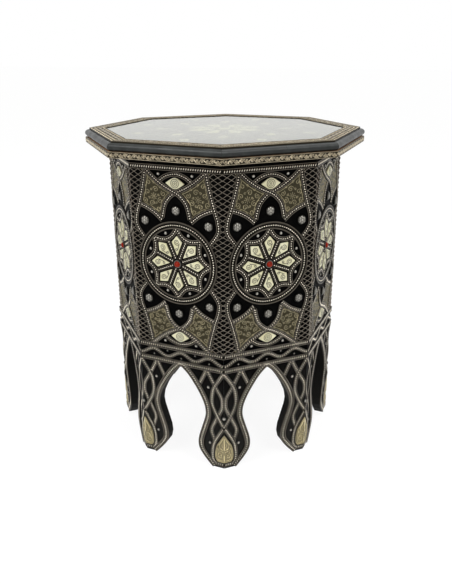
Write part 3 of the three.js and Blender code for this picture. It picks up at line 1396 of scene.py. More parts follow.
    def plate_edges(self, margin: float) -> list[Line]:
        """Draws the lines that run round a plate beside the straps that frame it.

        Args:
            margin: The gap between a line and its strap.

        Returns:
            One open line for each strap, from the rosette's middle.
        """
        ogive = curved(self.field_places(self.ogive_shares), self.edge_step)
        inner = [(x, y) for x, y in ogive if x >= 0]
        outer = mirrored([(x, y) for x, y in ogive if x <= 0])
        side = curved(self.field_places(self.side_shares), self.edge_step)
        shoulder = curved(self.field_places(self.shoulder_shares), self.edge_step)
        frame = [inner, outer, side, shoulder[::-1]]
        straps = np.array([point for line in frame for point in line])
        reach = Strap.width / 2 + margin
        edges = []
        for line in frame:
            edge = []
            for x, y in beside(line, -reach):
                clear = np.hypot(*(straps - (x, y)).T).min() > reach - self.edge_slack
                if clear and y > np.interp(x, *zip(*shoulder)):
                    edge.append((x, y))
            if len(edge) > self.edge_least:
                edges.append([(x, y) for x, y, _ in walk(edge, self.edge_pitch)])
        return edges

    def wave(self) -> Line:
        """Draws the wave of the band over the arches.

        Returns:
            Its line.
        """
        low = self.arch_height + self.arch_clearance + self.band
        middle = low + self.wave_band / 2
        swing = (self.wave_band - self.wave_width) / 2
        half = self.sizes.half + self.lap
        count = self.wave_steps * self.waves
        places = [half * (2 * i / count - 1) for i in range(count + 1)]
        turns = self.waves * math.pi / self.sizes.half
        return [(x, middle + swing * math.cos(turns * x)) for x in places]

    def level(self, middle: float) -> Strap:
        """Gives a level strap across the face."""
        half = self.sizes.half + self.lap
        return Strap([(-half, middle), (half, middle)], Layer.TOP, self.band, mark=Mark.BAR)

    def straps(self) -> list[Strap]:
        """Gives every strap of the face."""
        return [*self.field_straps(), *self.rosette_straps(), *self.band_straps(), *self.leg_straps()]

    def field_straps(self) -> list[Strap]:
        """Gives the straps round the rosette.

        Returns:
            The straps.
        """
        side = [
            *self.field_places(self.side_shares),
            polar(self.ring - self.ring_width / 2, TURN * self.side_end_share),
        ]
        eye = self.field_places(self.eye_shares)
        eye_line = curved([*eye, *reversed(mirrored(eye[:-1]))], self.field_pitch)
        ogive = curved(self.field_places(self.ogive_shares), self.field_pitch)
        side_line = curved(side, self.field_pitch)
        shoulder = curved(self.field_places(self.shoulder_shares), self.field_pitch)
        layers = (Layer.HIGH, Layer.LOW, Layer.LOW, Layer.HIGH)
        marks = (Mark.BEAD, Mark.BEAD, Mark.BAR, Mark.BAR)
        straps = [Strap(*strap) for strap in zip(quarters(ogive), layers)]
        straps += [Strap(line, Layer.UNDER) for line in quarters(shoulder)]
        straps = [replace(strap, mark=mark) for strap, mark in zip(straps, marks * 2)]
        straps += [Strap(line, Layer.LOW) for line in quarters(side_line)]
        straps += [Strap(line, Layer.UNDER) for line in (eye_line, upended(eye_line))]
        return [self.about_rosette(strap) for strap in straps]

    def about_rosette(self, strap: Strap) -> Strap:
        """Moves a strap that is drawn round the rosette's middle to its place."""
        return replace(strap, line=moved(strap.line, 0, self.sizes.rosette))

    def rosette_straps(self) -> list[Strap]:
        """Gives the ring, the star and the spokes.

        Returns:
            The straps.
        """
        ring = circle(self.ring - self.ring_width / 2, self.ring_points)
        star = self.star(self.star_tip, self.star_waist)
        straps = [
            Strap(ring, Layer.TOP, self.ring_width, self.ring_rim, closed=True, rub=self.ring_rub),
            Strap(star, Layer.HIGH, closed=True),
        ]
        for i in range(SIDES):
            angle = TURN * (i + 0.5)
            spoke = [polar(self.spoke_start, angle), polar(self.star_waist, angle)]
            straps.append(
                Strap(spoke, Layer.LOW, self.spoke_width, self.spoke_rim, rub=self.spoke_rub)
            )
        return [self.about_rosette(strap) for strap in straps]

    def band_straps(self) -> list[Strap]:
        """Gives the level bands and the wave between two of them.

        Returns:
            The straps.
        """
        lower = self.arch_height + self.arch_clearance + self.band / 2
        middles = [self.sizes.strap_top - self.band / 2, self.bottom - self.band / 2, lower]
        wave = Strap(self.wave(), Layer.LOW, self.wave_width, self.wave_rim, Mark.BAR)
        return [*(self.level(middle) for middle in middles), wave]

    def leg_straps(self) -> list[Strap]:
        """Gives the straps of both legs and the one along the arch.

        Returns:
            The straps.
        """
        arch = beside(self.arch(), self.arch_strap / 2)
        outer = curved(self.leg_places(self.outer_leg_shares), self.leg_pitch)
        inner = curved(self.leg_places(self.inner_leg_shares), self.leg_pitch)
        tip, after, *rest = self.leaf_outline(self.leaf_margin, self.leaf_peak)
        beyond = (2 * tip[0] - after[0], 2 * tip[1] - after[1])
        under = (-self.lap, rest[-1][1])
        leaf = [(self.sizes.half - x, y) for x, y in (beyond, tip, after, *rest, under)]
        brace = self.leg_places(self.brace_shares)
        lines = (outer, inner, brace, leaf)
        layers = (Layer.LOW, Layer.UNDER, Layer.UNDER, Layer.HIGH)
        right = [
            Strap(line, layer, mark=Mark.BAR, rub=self.leg_rub) for line, layer in zip(lines, layers)
        ]
        left = [replace(strap, line=mirrored(strap.line)) for strap in right]
        over = Strap(arch, Layer.TOP, self.arch_strap, self.arch_rim, Mark.BAR, rub=self.arch_rub)
        return [over, *right, *left]

    def inside(self, x: float, y: float) -> bool:
        """Says whether a mark at a place stays on the face and clear of its edges."""
        across = abs(x) < self.sizes.half - self.side_margin
        return across and self.foot_margin < y < self.sizes.strap_top


@dataclass
class FaceMetal:
    """The pressed metal of the faces: straps, marks, lattice wires and embossed plates."""

    face: FaceField
    finishes: Finishes
    foot_gap: float = 0.5
    wire_pitch: float = 7.8
    wire_slope: float = 0.62
    wire_width: float = 0.8
    wire_height: float = 1.0
    wire_section: tuple[Point, ...] = ((0.5, 0), (0.5, 0.55), (0.22, 1))
    wire_rub: float = 0.65
    wire_step: float = 0.25
    wire_overrun: float = 2.0
    wire_least: int = 8
    spare_wires: int = 3
    ring_angles: tuple[float, ...] = (30, 25, 20, 15, 10, 5, 0)
    plate_ground: float = 0.25
    plate_rise: float = 0.35
    plate_margin: float = 2.0
    plate_rub: float = 0.07
    scroll_width: float = 1.05
    scroll_shares: Pair = (0.5, 0.2)
    # Radius of the eye, then start and end of the rays
    flower: tuple[float, ...] = (1.5, 2.6, 5.2)
    flower_points: int = 10
    plate_shares: tuple[Point, ...] = ((0.69, 0.98), (0.1, 0.775), (0.32, 0.5), (0.84, 0.63))
    # Place across and up a plate in shares, then radius, turns and start of a spiral
    scrolls: tuple[tuple[float, ...], ...] = (
        (0.26, 0.5, 4.3, 1.4, 20), (0.74, 0.5, 4.3, -1.4, 200), (0.5, 0.25, 4.3, -1.4, 110),
        (0.5, 0.75, 4.3, 1.4, 290), (0.22, 0.22, 3.9, -1.3, 60), (0.22, 0.78, 3.9, 1.3, 330),
        (0.78, 0.22, 3.9, 1.3, 150), (0.78, 0.78, 3.9, -1.3, 240), (0.36, 0.11, 2.3, 1.0, 0),
        (0.65, 0.11, 2.3, -1.0, 180), (0.36, 0.89, 2.3, -1.0, 0), (0.65, 0.89, 2.3, 1.0, 180),
        (0.1, 0.38, 2.2, 1.0, 90), (0.1, 0.64, 2.2, -1.0, 270), (0.9, 0.37, 2.2, -1.0, 90),
        (0.91, 0.63, 2.2, 1.0, 270), (0.36, 0.36, 2.0, 1.0, 200), (0.64, 0.64, 2.0, 1.0, 20),
        (0.36, 0.64, 2.0, -1.0, 160), (0.64, 0.36, 2.0, -1.0, 340), (0.08, 0.08, 1.8, 1.0, 45),
        (0.92, 0.08, 1.8, 1.0, 135), (0.08, 0.92, 1.8, -1.0, 315), (0.92, 0.92, 1.8, 1.0, 225),
    )

    def build(self) -> None:
        """Makes the metal of all faces."""
        apothem = self.face.sizes.apothem
        press = StrapPress()
        straps = self.face.straps()
        bands = mitred(press.bands(straps), apothem)
        cut(bands, (0, self.foot_gap, 0), (0, -1, 0))
        bands.name = "pressed_straps"
        spread(bands, self.finishes.strap, apothem, "strapwork")
        marks = press.marks(straps, self.face.inside)
        marks.name = "pressed_beads"
        spread(marks, self.finishes.bead, apothem)
        wires = self.lattice()
        spread(mitred(wires, apothem), self.finishes.strap, apothem)
        spread(self.plates(), self.finishes.plate, apothem)

    def lattice(self) -> bpy.types.Object:
        """Makes the crossing wires between the straps and the corners.

        Returns:
            One mesh of all the wires.
        """
        face = self.face
        side = smooth(face.field_places(face.side_shares), CURVE_STEPS)
        ring = [polar(face.ring - face.ring_width / 2, angle) for angle in self.ring_angles]
        upper = sorted((y, x) for x, y in [*side, *ring])
        heights, edges = zip(*upper)
        lines = []
        count = math.ceil(2 * face.reach / self.wire_pitch) + self.spare_wires
        for i in range(-count // 2, count // 2 + 1):
            for slope in (self.wire_slope, -self.wire_slope):
                line = self.wire(i * self.wire_pitch, slope, heights, edges)
                if len(line) == 2:
                    lines += [line, mirrored(line)]
        section = scaled(symmetric(self.wire_section), self.wire_width, self.wire_height)
        wires = swept("lattice_wires", lines, section)
        wires.data.transform(Matrix.Translation((0, face.sizes.rosette, 0)))
        return worn_and_painted_shade(wires, 0, self.wire_height, self.wire_rub)

    def wire(self, start: float, slope: float, heights: Sequence[float], edges: Sequence[float]) -> Line:
        """Draws one wire from the corner inwards until a strap covers it.

        Args:
            start: Its height at the corner, from the rosette's middle.
            slope: How far it falls for each step inwards.
            heights: Heights of the covering straps' middle line, from 0 up.
            edges: How far out that line is at those heights.

        Returns:
            The wire's two ends, or nothing where it would be too short.
        """
        half = self.face.sizes.half
        places = []
        for x in np.arange(half + self.face.lap, 0, -self.wire_step):
            y = start - slope * (half - x)
            if abs(y) > self.face.reach + self.wire_overrun:
                if places:
                    break
                continue
            if x < np.interp(abs(y), heights, edges):
                break
            places.append((float(x), float(y)))
        return [places[0], places[-1]] if len(places) > self.wire_least else []

    def plates(self) -> bpy.types.Object:
        """Makes the four embossed plates with their scrolls.

        Returns:
            One mesh of all four.
        """
        corners = np.array(self.face.field_places(self.plate_shares))
        parts = []
        for line in quarters([tuple(corner) for corner in corners]):
            plate = slab("plate", line, 0, self.plate_ground)
            parts.append(worn_and_painted_shade(cleaned(plate), 0, self.plate_ground, self.plate_rub))
        scrolls = []
        for across, up, radius, turns, start in self.scrolls:
            low = corners[1] * (1 - across) + corners[2] * across
            high = corners[0] * (1 - across) + corners[3] * across
            middle = tuple(low * (1 - up) + high * up)
            scrolls += quarters(spiral(middle, radius, turns, start))
        middle = tuple(corners.mean(axis=0))
        eye, near, far = self.flower
        for i in range(SIDES):
            scrolls += quarters(moved([polar(near, TURN * i), polar(far, TURN * i)], *middle))
        scrolls += quarters(loop(eye, self.flower_points, middle))
        crest = self.plate_ground + self.plate_rise
        foot, top = self.scroll_shares
        half = [(foot, 0), (foot, self.plate_ground), (top, crest)]
        section = scaled(symmetric(half), self.scroll_width, 1)
        edges = [line for edge in self.face.plate_edges(self.plate_margin) for line in quarters(edge)]
        for wires in (swept("scroll", scrolls, section), swept("edge", edges, section)):
            parts.append(worn_and_painted_shade(wires, self.plate_ground, crest))
        plates = joined("embossed_plates", parts)
        plates.data.transform(Matrix.Translation((0, self.face.sizes.rosette, 0)))
        return plates


@dataclass
class FaceBone:
    """Bone of the faces: the petals of the rosette and the two eyes, with engraved lines."""

    face: FaceField
    finishes: Finishes
    thickness: float = 2.1
    arris: float = 0.35
    tip: float = 13.0
    shoulder: float = 32.5
    half_width: float = 8.0
    outer: float = 41.8
    eye_height_share: float = 0.8744
    eye_half_width: float = 14.5
    eye_half_height: float = 7.8
    line_width: float = 0.95
    line_depth: float = 0.08
    # Radius, turns, lean in degrees and core of a spiral
    scroll: tuple[float, ...] = (4.6, 1.75, 60, 0.2)
    curl_place: Point = (8.5, 0.6)
    curl: tuple[float, ...] = (2.1, 1.1, 90, 0.35)
    # Radius and number of points
    eye_rings: tuple[tuple[float, int], ...] = ((6.0, 18), (3.6, 18), (1.2, 8))

    def petal(self, degrees: float) -> Line:
        """Draws one petal, pointing away from the middle."""
        kite = [(self.tip, 0), (self.shoulder, -self.half_width), (self.outer, 0)]
        return turned([*kite, (self.shoulder, self.half_width)], degrees)

    def eye(self) -> Line:
        """Draws an eye round its middle."""
        upper = smooth([(self.eye_half_width, 0), (0, self.eye_half_height), (-self.eye_half_width, 0)])
        return [*upper, *reversed(upended(upper[1:-1]))]

    def petal_line(self, hand: int) -> Line:
        """Draws the line engraved in a petal that points along x.

        Args:
            hand: 1 or -1, the way in which it winds.

        Returns:
            A scroll that runs on into a curl.
        """
        radius, turns, lean, core = self.scroll
        scroll = spiral((self.shoulder, 0), radius, turns * hand, 180 - lean * hand, core)
        across, up = self.curl_place
        radius, turns, lean, core = self.curl
        curl = spiral((self.tip + across, -up * hand), radius, -turns * hand, lean * hand, core)
        return [*reversed(scroll), *curl]

    def build(self) -> None:
        """Makes the bone of all faces."""
        sizes = self.face.sizes
        height = self.eye_height_share * self.face.reach
        outlines = [self.petal(TURN * i) for i in range(SIDES)]
        outlines += [moved(self.eye(), 0, height), moved(self.eye(), 0, -height)]
        parts = [
            slab("bone", moved(outline, 0, sizes.rosette), 0, self.thickness, self.arris)
            for outline in outlines
        ]
        spread(joined("bone_inlays", parts), self.finishes.bone, sizes.apothem)
        lines = [turned(self.petal_line(1 if i % 2 else -1), TURN * i) for i in range(SIDES)]
        for side in (1, -1):
            lines += [loop(radius, count, (0, side * height)) for radius, count in self.eye_rings]
        flat = scaled(symmetric([(0.5, -1), (0.5, 1)]), self.line_width, self.line_depth)
        section = moved(flat, 0, self.thickness)
        engraving = swept("engraved_lines", lines, section)
        engraving.data.transform(Matrix.Translation((0, sizes.rosette, 0)))
        spread(engraving, self.finishes.engraving, sizes.apothem)


@dataclass
class FaceStuds:
    """Domed nail heads of the faces, large ones pressed as flowers, and the bezels of the stones."""

    face: FaceField
    finishes: Finishes
    large_radius: float = 7.3
    large_height: float = 4.4
    small_radius: float = 2.6
    small_height: float = 1.9
    hub: float = 6.4
    hub_height: float = 1.7
    hub_points: int = 24
    hub_arris: float = 0.4
    hub_rub: float = 0.08
    large_facets: tuple[int, int] = (36, 22)
    # Shares of the dome's height between which the large studs go from painted shade on their sides to a
    # rubbed top with a painted highlight
    large_rub_and_shade: Pair = (0.5, 1.1)
    small_facets: tuple[int, int] = (12, 10)
    # Share of the dome's height below which the small studs stay dark as painted shade; above it they
    # brighten to a rubbed top with a painted highlight
    small_rub_and_shade: float = 0.4
    wave_size: float = 0.55
    corner_size: float = 1.15
    corner_sink: float = 0.4
    petals: int = 6
    petal_reach: Pair = (0.3, 0.9)
    boss_reach: Pair = (0.24, 0.38)
    groove: float = 0.7
    groove_dulled: float = 0.7
    bezel_section: tuple[Point, ...] = ((0.6, 0), (0.6, 2.0), (0.1, 2.7), (-0.8, 2.6), (-0.8, 0))
    bezel_margin: float = 0.4
    bezel_points: int = 32
    # Low height, high height and most of the rubbing
    bezel_rub: tuple[float, ...] = (1, 2.6, 0.35)
    large_places: tuple[Point, ...] = ((0, 78), (0, -78), (50, 60), (-50, 60), (50, -60), (-50, -60))
    spandrel_radius: float = 47.2
    corner_places: tuple[Point, ...] = ((26, 128), (-26, 128), (26, -127), (-26, -127))
    leg_places: tuple[Point, ...] = ((45, 143.5), (46.5, 43.5))
    corner_height: float = 92.8
    wave_places: tuple[Point, ...] = ((0, 183.3), (47, 183.3), (-47, 183.3), (23.5, 192.7), (-23.5, 192.7))

    def flower(self) -> bpy.types.Object:
        """Makes a large stud: a domed head with petals pressed round a boss.

        Returns:
            The stud, to be copied.
        """
        head = dome("stud", self.large_radius, self.large_height, *self.large_facets)
        # Dark sides of the dome are painted shade; its bright top is rubbing and a painted highlight
        low, high = self.large_rub_and_shade
        worn_and_painted_shade(head, self.large_height * low, self.large_height * high)
        petal_start, petal_end = self.petal_reach
        boss_start, boss_end = self.boss_reach
        wear_and_painted_shade = head.data.attributes[WEAR_AND_PAINTED_SHADE].data
        for vertex, rubbed in zip(head.data.vertices, wear_and_painted_shade):
            reach = math.hypot(vertex.co.x, vertex.co.y) / self.large_radius
            angle = math.atan2(vertex.co.y, vertex.co.x)
            between = (1 - abs(math.sin(angle * self.petals / 2))) ** 2
            between *= petal_start < reach < petal_end
            depth = max(between, float(boss_start < reach < boss_end))
            vertex.co.z = max(0, vertex.co.z - self.groove * depth * (vertex.co.z > 0))
            rubbed.value *= 1 - self.groove_dulled * depth
        return head

    def build(self) -> None:
        """Makes the studs and bezels of all faces."""
        sizes = self.face.sizes
        base = sizes.rosette
        flower = self.flower()
        parts = [scattered("large", flower, [placed(x, base + y, 0) for x, y in self.large_places])]
        small = dome("small", self.small_radius, self.small_height, *self.small_facets)
        # The small domes likewise: dark sides as painted shade, a bright top as rubbing and a painted
        # highlight
        worn_and_painted_shade(small, self.small_height * self.small_rub_and_shade, self.small_height)
        ring = [polar(self.spandrel_radius, TURN * (i + 0.5)) for i in range(SIDES)]
        legs = [(side * x, y - base) for x, y in self.leg_places for side in (1, -1)]
        places = [placed(x, base + y, 0) for x, y in [*ring, *self.corner_places, *legs]]
        places += [placed(x, y, 0, size=self.wave_size) for x, y in self.wave_places]
        parts.append(scattered("small", small, places))
        collar = circle(sizes.stone + self.bezel_margin, self.bezel_points, (0, base))
        bezel = swept("bezel", [collar], list(self.bezel_section), True)
        outline = circle(self.hub, self.hub_points, (0, base))
        hub = slab("hub", outline, 0, self.hub_height, self.hub_arris)
        worn_and_painted_shade(hub, 0, self.hub_height, self.hub_rub)
        parts += [worn_and_painted_shade(bezel, *self.bezel_rub), hub]
        spread(joined("domed_studs", parts), self.finishes.stud, sizes.apothem)
        place = placed(0, self.corner_height, -self.corner_sink, size=self.corner_size)
        corner = scattered("corner_studs", small, [place])
        spread(corner, self.finishes.stud, sizes.apothem * CORNER, offset=0.5)
        for model in (flower, small):
            bpy.data.objects.remove(model)


@dataclass
class FootLeaves:
    """Brass leaves folded over the corners of the feet."""

    face: FaceField
    finishes: Finishes
    ground: float = 0.7
    edge: float = 1.5
    border: float = 2.6
    border_half: float = 0.6
    border_drop: float = 0.3
    leaf_rub: float = 0.4
    vein: float = 2.0
    vein_shares: tuple[float, ...] = (0.5, 0.28, 0.16)
    vein_lift: float = 0.03
    volute_place: Point = (6.3, 11.5)
    # Radius, turns, start and core of a spiral
    volute: tuple[float, ...] = (4.7, -1.4, 130, 0.25)
    lift: float = 0.1
    folds: tuple[float, ...] = (0.0, 0.6, -0.6)
    lobe_steps: int = 5
    lobe_shares: tuple[tuple[Point, ...], ...] = (
        ((0, 0.46), (0, 0.7), (0, 0.9)),
        ((0, 0.06), (0, 0.14), (0, 0.28)),
        ((0.08, 0.38), (0.32, 0.41), (0.56, 0.36), (0.74, 0.24)),
        ((0.14, 0.1), (0.36, 0.06), (0.6, 0.09)),
        ((0.1, 0.46), (0.42, 0.52), (0.5, 0.64), (0.3, 0.76), (0.07, 0.88)),
        ((0.62, 0.44), (0.72, 0.52), (0.6, 0.66)),
        ((0.1, 0.56), (0.2, 0.64), (0.1, 0.72)),
    )

    def flat(self) -> bpy.types.Object:
        """Makes one leaf before it is folded.

        Returns:
            The flat leaf.
        """
        half = self.face.leaf_outline(0, 0)
        outline = [*half, *reversed(mirrored(half[1:]))]
        sheet = cleaned(slab("leaf", outline, 0, self.ground))
        parts = [worn_and_painted_shade(sheet, 0, self.ground, self.leaf_rub)]
        low, high = self.face.sizes.leaf
        tall = high - low
        side = self.border_half
        rim = [(side, 0), (side, self.edge - self.border_drop), (0, self.edge)]
        rim += [(-side, self.ground), (-side, 0)]
        parts.append(worn_and_painted_shade(swept("rim", [outline], rim, True), self.ground, self.edge))
        lobes = [scaled(shares, self.face.leaf_half, tall) for shares in self.lobe_shares]
        lines = [self.face.leaf_outline(-self.border, -self.border)]
        lines += [moved(smooth(lobe, self.lobe_steps), 0, low) for lobe in lobes]
        across, up = self.volute_place
        lines.append(spiral((across, low + up), *self.volute))
        lines += [mirrored(line) for line in lines if line[-1][0] > 0]
        slope = (self.ground + self.edge) / 2
        foot, middle, top = self.vein_shares
        section = [(foot, 0), (foot, self.ground + self.vein_lift), (middle, slope), (top, self.edge)]
        veins = swept("veins", lines, scaled(symmetric(section), self.vein, 1))
        parts.append(worn_and_painted_shade(veins, slope, self.edge))
        return joined("folded_leaves", parts)

    def build(self) -> None:
        """Makes the leaves of all feet."""
        leaf = self.flat()
        with editing(leaf):
            for x in self.folds:
                bpy.ops.mesh.select_all(action="SELECT")
                bpy.ops.mesh.bisect(plane_co=(x, 0, 0), plane_no=(1, 0, 0))
        apothem = self.face.sizes.apothem + self.lift
        bend = math.radians(TURN / 2)
        for vertex in leaf.data.vertices:
            x, y, z = vertex.co
            side = math.copysign(1, x) if abs(x) > MERGE else 0
            if side:
                across = abs(x) * math.cos(bend) + z * math.sin(bend)
                out = z * math.cos(bend) - abs(x) * math.sin(bend)
            else:
                across, out = 0, z * CORNER
            vertex.co = (side * across, y, out)
        spread(leaf, self.finishes.leaf, apothem * CORNER, "foot_leaf", 0.5)


@dataclass(frozen=True)
class Vine:
    """A running vine: a waving stem with a scroll and a leaf in each loop."""

    loops: int
    steps: int = 12
    scroll_rise: float = 0.2
    scroll_share: float = 0.72
    scroll_turns: float = 1.4
    scroll_core: float = 0.22
    leaf_shares: tuple[Point, ...] = ((0.19, 0.95), (0.25, 0.7), (0.31, 0.95))
    leaf_steps: int = 3

    def lines(self, half: float, middle: float, swing: float) -> list[Line]:
        """Draws the vine.

        Args:
            half: Half of the length that it fills.
            middle: The height of its middle line.
            swing: How far it swings up and down.

        Returns:
            Its lines.
        """
        pitch = 2 * half / self.loops
        count = self.loops * self.steps
        stem = []
        for i in range(count + 1):
            x = 2 * half * i / count - half
            stem.append((x, middle + swing * math.cos(2 * math.pi * x / pitch)))
        lines = [stem]
        for i in range(2 * self.loops + 1):
            x = i * pitch / 2 - half
            side = 1 if i % 2 else -1
            centre = (x, middle + side * swing * self.scroll_rise)
            turns = side * self.scroll_turns
            lines.append(spiral(centre, swing * self.scroll_share, turns, 180, self.scroll_core))
            leaf = [(x + pitch * a, middle - side * b * swing) for a, b in self.leaf_shares]
            lines.append(smooth(leaf, self.leaf_steps))
        return lines


@dataclass
class RimWork:
    """What edges the top: the black nosing and the pressed frieze under it."""

    sizes: Sizes
    finishes: Finishes
    nosing_depth: float = 6.5
    nosing_steps: int = 16
    mitre_gap: float = 0.25
    joint_face: int = 2
    joint_place: float = 7.0
    joint_gap: float = 0.35
    frieze_ground: float = 0.5
    frieze_crest: float = 1.2
    frieze_lap: float = 1.0
    # Low height, high height and most of the rubbing
    frieze_rub: tuple[float, ...] = (0, 2, 0.1)
    edge_section: tuple[Point, ...] = ((0.4, 0), (0.4, 0.7), (0, 1.0), (-0.4, 0.7), (-0.4, 0))
    edge_inset: float = 0.4
    edge_rub: tuple[float, ...] = (0.4, 1.0, 0.5)
    vine: Vine = Vine(12)
    vine_width: float = 1.1
    vine_shares: Pair = (0.5, 0.15)
    vine_side: float = 0.8
    vine_margin: float = 1.6
    vine_rub: float = 0.3

    def nosing(self) -> bpy.types.Object:
        """Makes one strip of half-round nosing.

        Returns:
            The strip, drawn flat.
        """
        low, high = self.sizes.nosing
        half = (high - low) / 2
        steps = self.nosing_steps
        arc = [polar(1, 90 - 180 * i / steps) for i in range(steps + 1)]
        section = [(half * y, self.nosing_depth * x) for x, y in arc]
        length = self.sizes.rim * SLOPE
        line = [(-length, low + half), (length, low + half)]
        strip = swept("nosing", [line], section)
        return mitred(strip, self.sizes.rim - self.nosing_depth, self.mitre_gap)

    def build(self) -> None:
        """Makes the nosing and the frieze of all sides."""
        back = self.sizes.rim - self.nosing_depth
        strip = self.nosing()
        halves = []
        for side in (1, -1):
            half = strip.copy()
            half.data = strip.data.copy()
            bpy.context.collection.objects.link(half)
            place = self.joint_place - side * self.joint_gap / 2
            halves.append(cut(half, (place, 0, 0), (side, 0, 0)))
        split = shaded(joined("split_nosing", halves))
        strip.name = "nosing"
        spread(strip, self.finishes.lacquer, back, "rim_moulding")
        whole = bpy.data.objects[f"nosing_{self.joint_face}"]
        whole.data = split.data
        whole.data.transform(on_face(back, self.joint_face - 1))
        whole.data.materials.append(self.finishes.lacquer)
        bpy.data.objects.remove(split)
        ground = self.sizes.rim - self.frieze_crest
        spread(self.frieze(), self.finishes.frieze, ground, "frieze_strip")

    def frieze(self) -> bpy.types.Object:
        """Makes one strip of frieze: a scrolling vine between two raised edges.

        Returns:
            The strip, drawn flat.
        """
        low, high = self.sizes.frieze
        half = self.sizes.rim * SLOPE + self.frieze_lap
        back = [(-half, low), (half, low), (half, high), (-half, high)]
        parts = [worn_and_painted_shade(slab("back", back, 0, self.frieze_ground), *self.frieze_rub)]
        edges = [[(-half, y), (half, y)] for y in (low + self.edge_inset, high - self.edge_inset)]
        parts.append(worn_and_painted_shade(swept("edges", edges, list(self.edge_section)), *self.edge_rub))
        vine = self.vine.lines(half, (low + high) / 2, (high - low) / 2 - self.vine_margin)
        foot, top = self.vine_shares
        stem = symmetric([(foot, 0), (foot, self.vine_side), (top, self.frieze_crest)])
        wires = swept("vine", vine, scaled(stem, self.vine_width, 1))
        parts.append(worn_and_painted_shade(wires, self.vine_rub, self.frieze_crest))
        return mitred(joined("frieze", parts), self.sizes.rim - self.frieze_crest)


@dataclass
class TopBorder:
    """The pressed border round the glass: beaded straps and a vine between them."""

    sizes: Sizes
    finishes: Finishes
    opening_gap: float = 0.6
    frame_rub: float = 0.04
    strap_widths: tuple[float, ...] = (5.2, 5.2, 6.0)
    strap_rim: float = 1.0
    strap_rub: float = 0.3
    bead_radius: float = 1.0
    vine: Vine = Vine(8)
    vine_margin: float = 1.2
    vine_section: tuple[Point, ...] = ((0.6, 0), (0.6, 0.4), (0.2, 0.7))
    relief: Relief = field(default_factory=lambda: Relief(0, 0.75, 0))

    def build(self) -> None:
        """Makes the border."""
        low, high = self.sizes.border
        inner = self.sizes.panel_apothem + self.opening_gap
        outer = self.sizes.border_outer
        floor = high - self.relief.rise
        middle = (inner + outer) / 2
        edge = (outer - inner) / 2
        frame = [(-edge, low), (edge, low), (edge, floor), (-edge, floor)]
        ring = swept("frame", [octagon(middle)], frame, True)
        parts = [worn_and_painted_shade(ring, low, floor, self.frame_rub)]
        first, second, last = self.strap_widths
        middles = (outer - first / 2, outer - first - second / 2, inner + last / 2)
        straps = [
            Strap(octagon(place), Layer.UNDER, width, self.strap_rim, closed=True, rub=self.strap_rub)
            for place, width in zip(middles, self.strap_widths)
        ]
        press = StrapPress(self.relief, bead_radius=self.bead_radius)
        for part in (press.bands(straps), press.marks(straps, lambda x, y: True)):
            part.data.transform(Matrix.Translation((0, 0, floor)))
            parts.append(part)
        near = inner + last
        far = outer - first - second
        middle = (near + far) / 2
        rows = self.vine.lines(middle * SLOPE, middle, (far - near) / 2 - self.vine_margin)
        lines = [turned(line, TURN * i) for i in range(SIDES) for line in rows]
        vine = swept("vine", lines, moved(symmetric(self.vine_section), 0, floor))
        parts.append(worn_and_painted_shade(vine, floor, high))
        laid(joined("pressed_border", parts), self.finishes.frieze, ["top_border"])


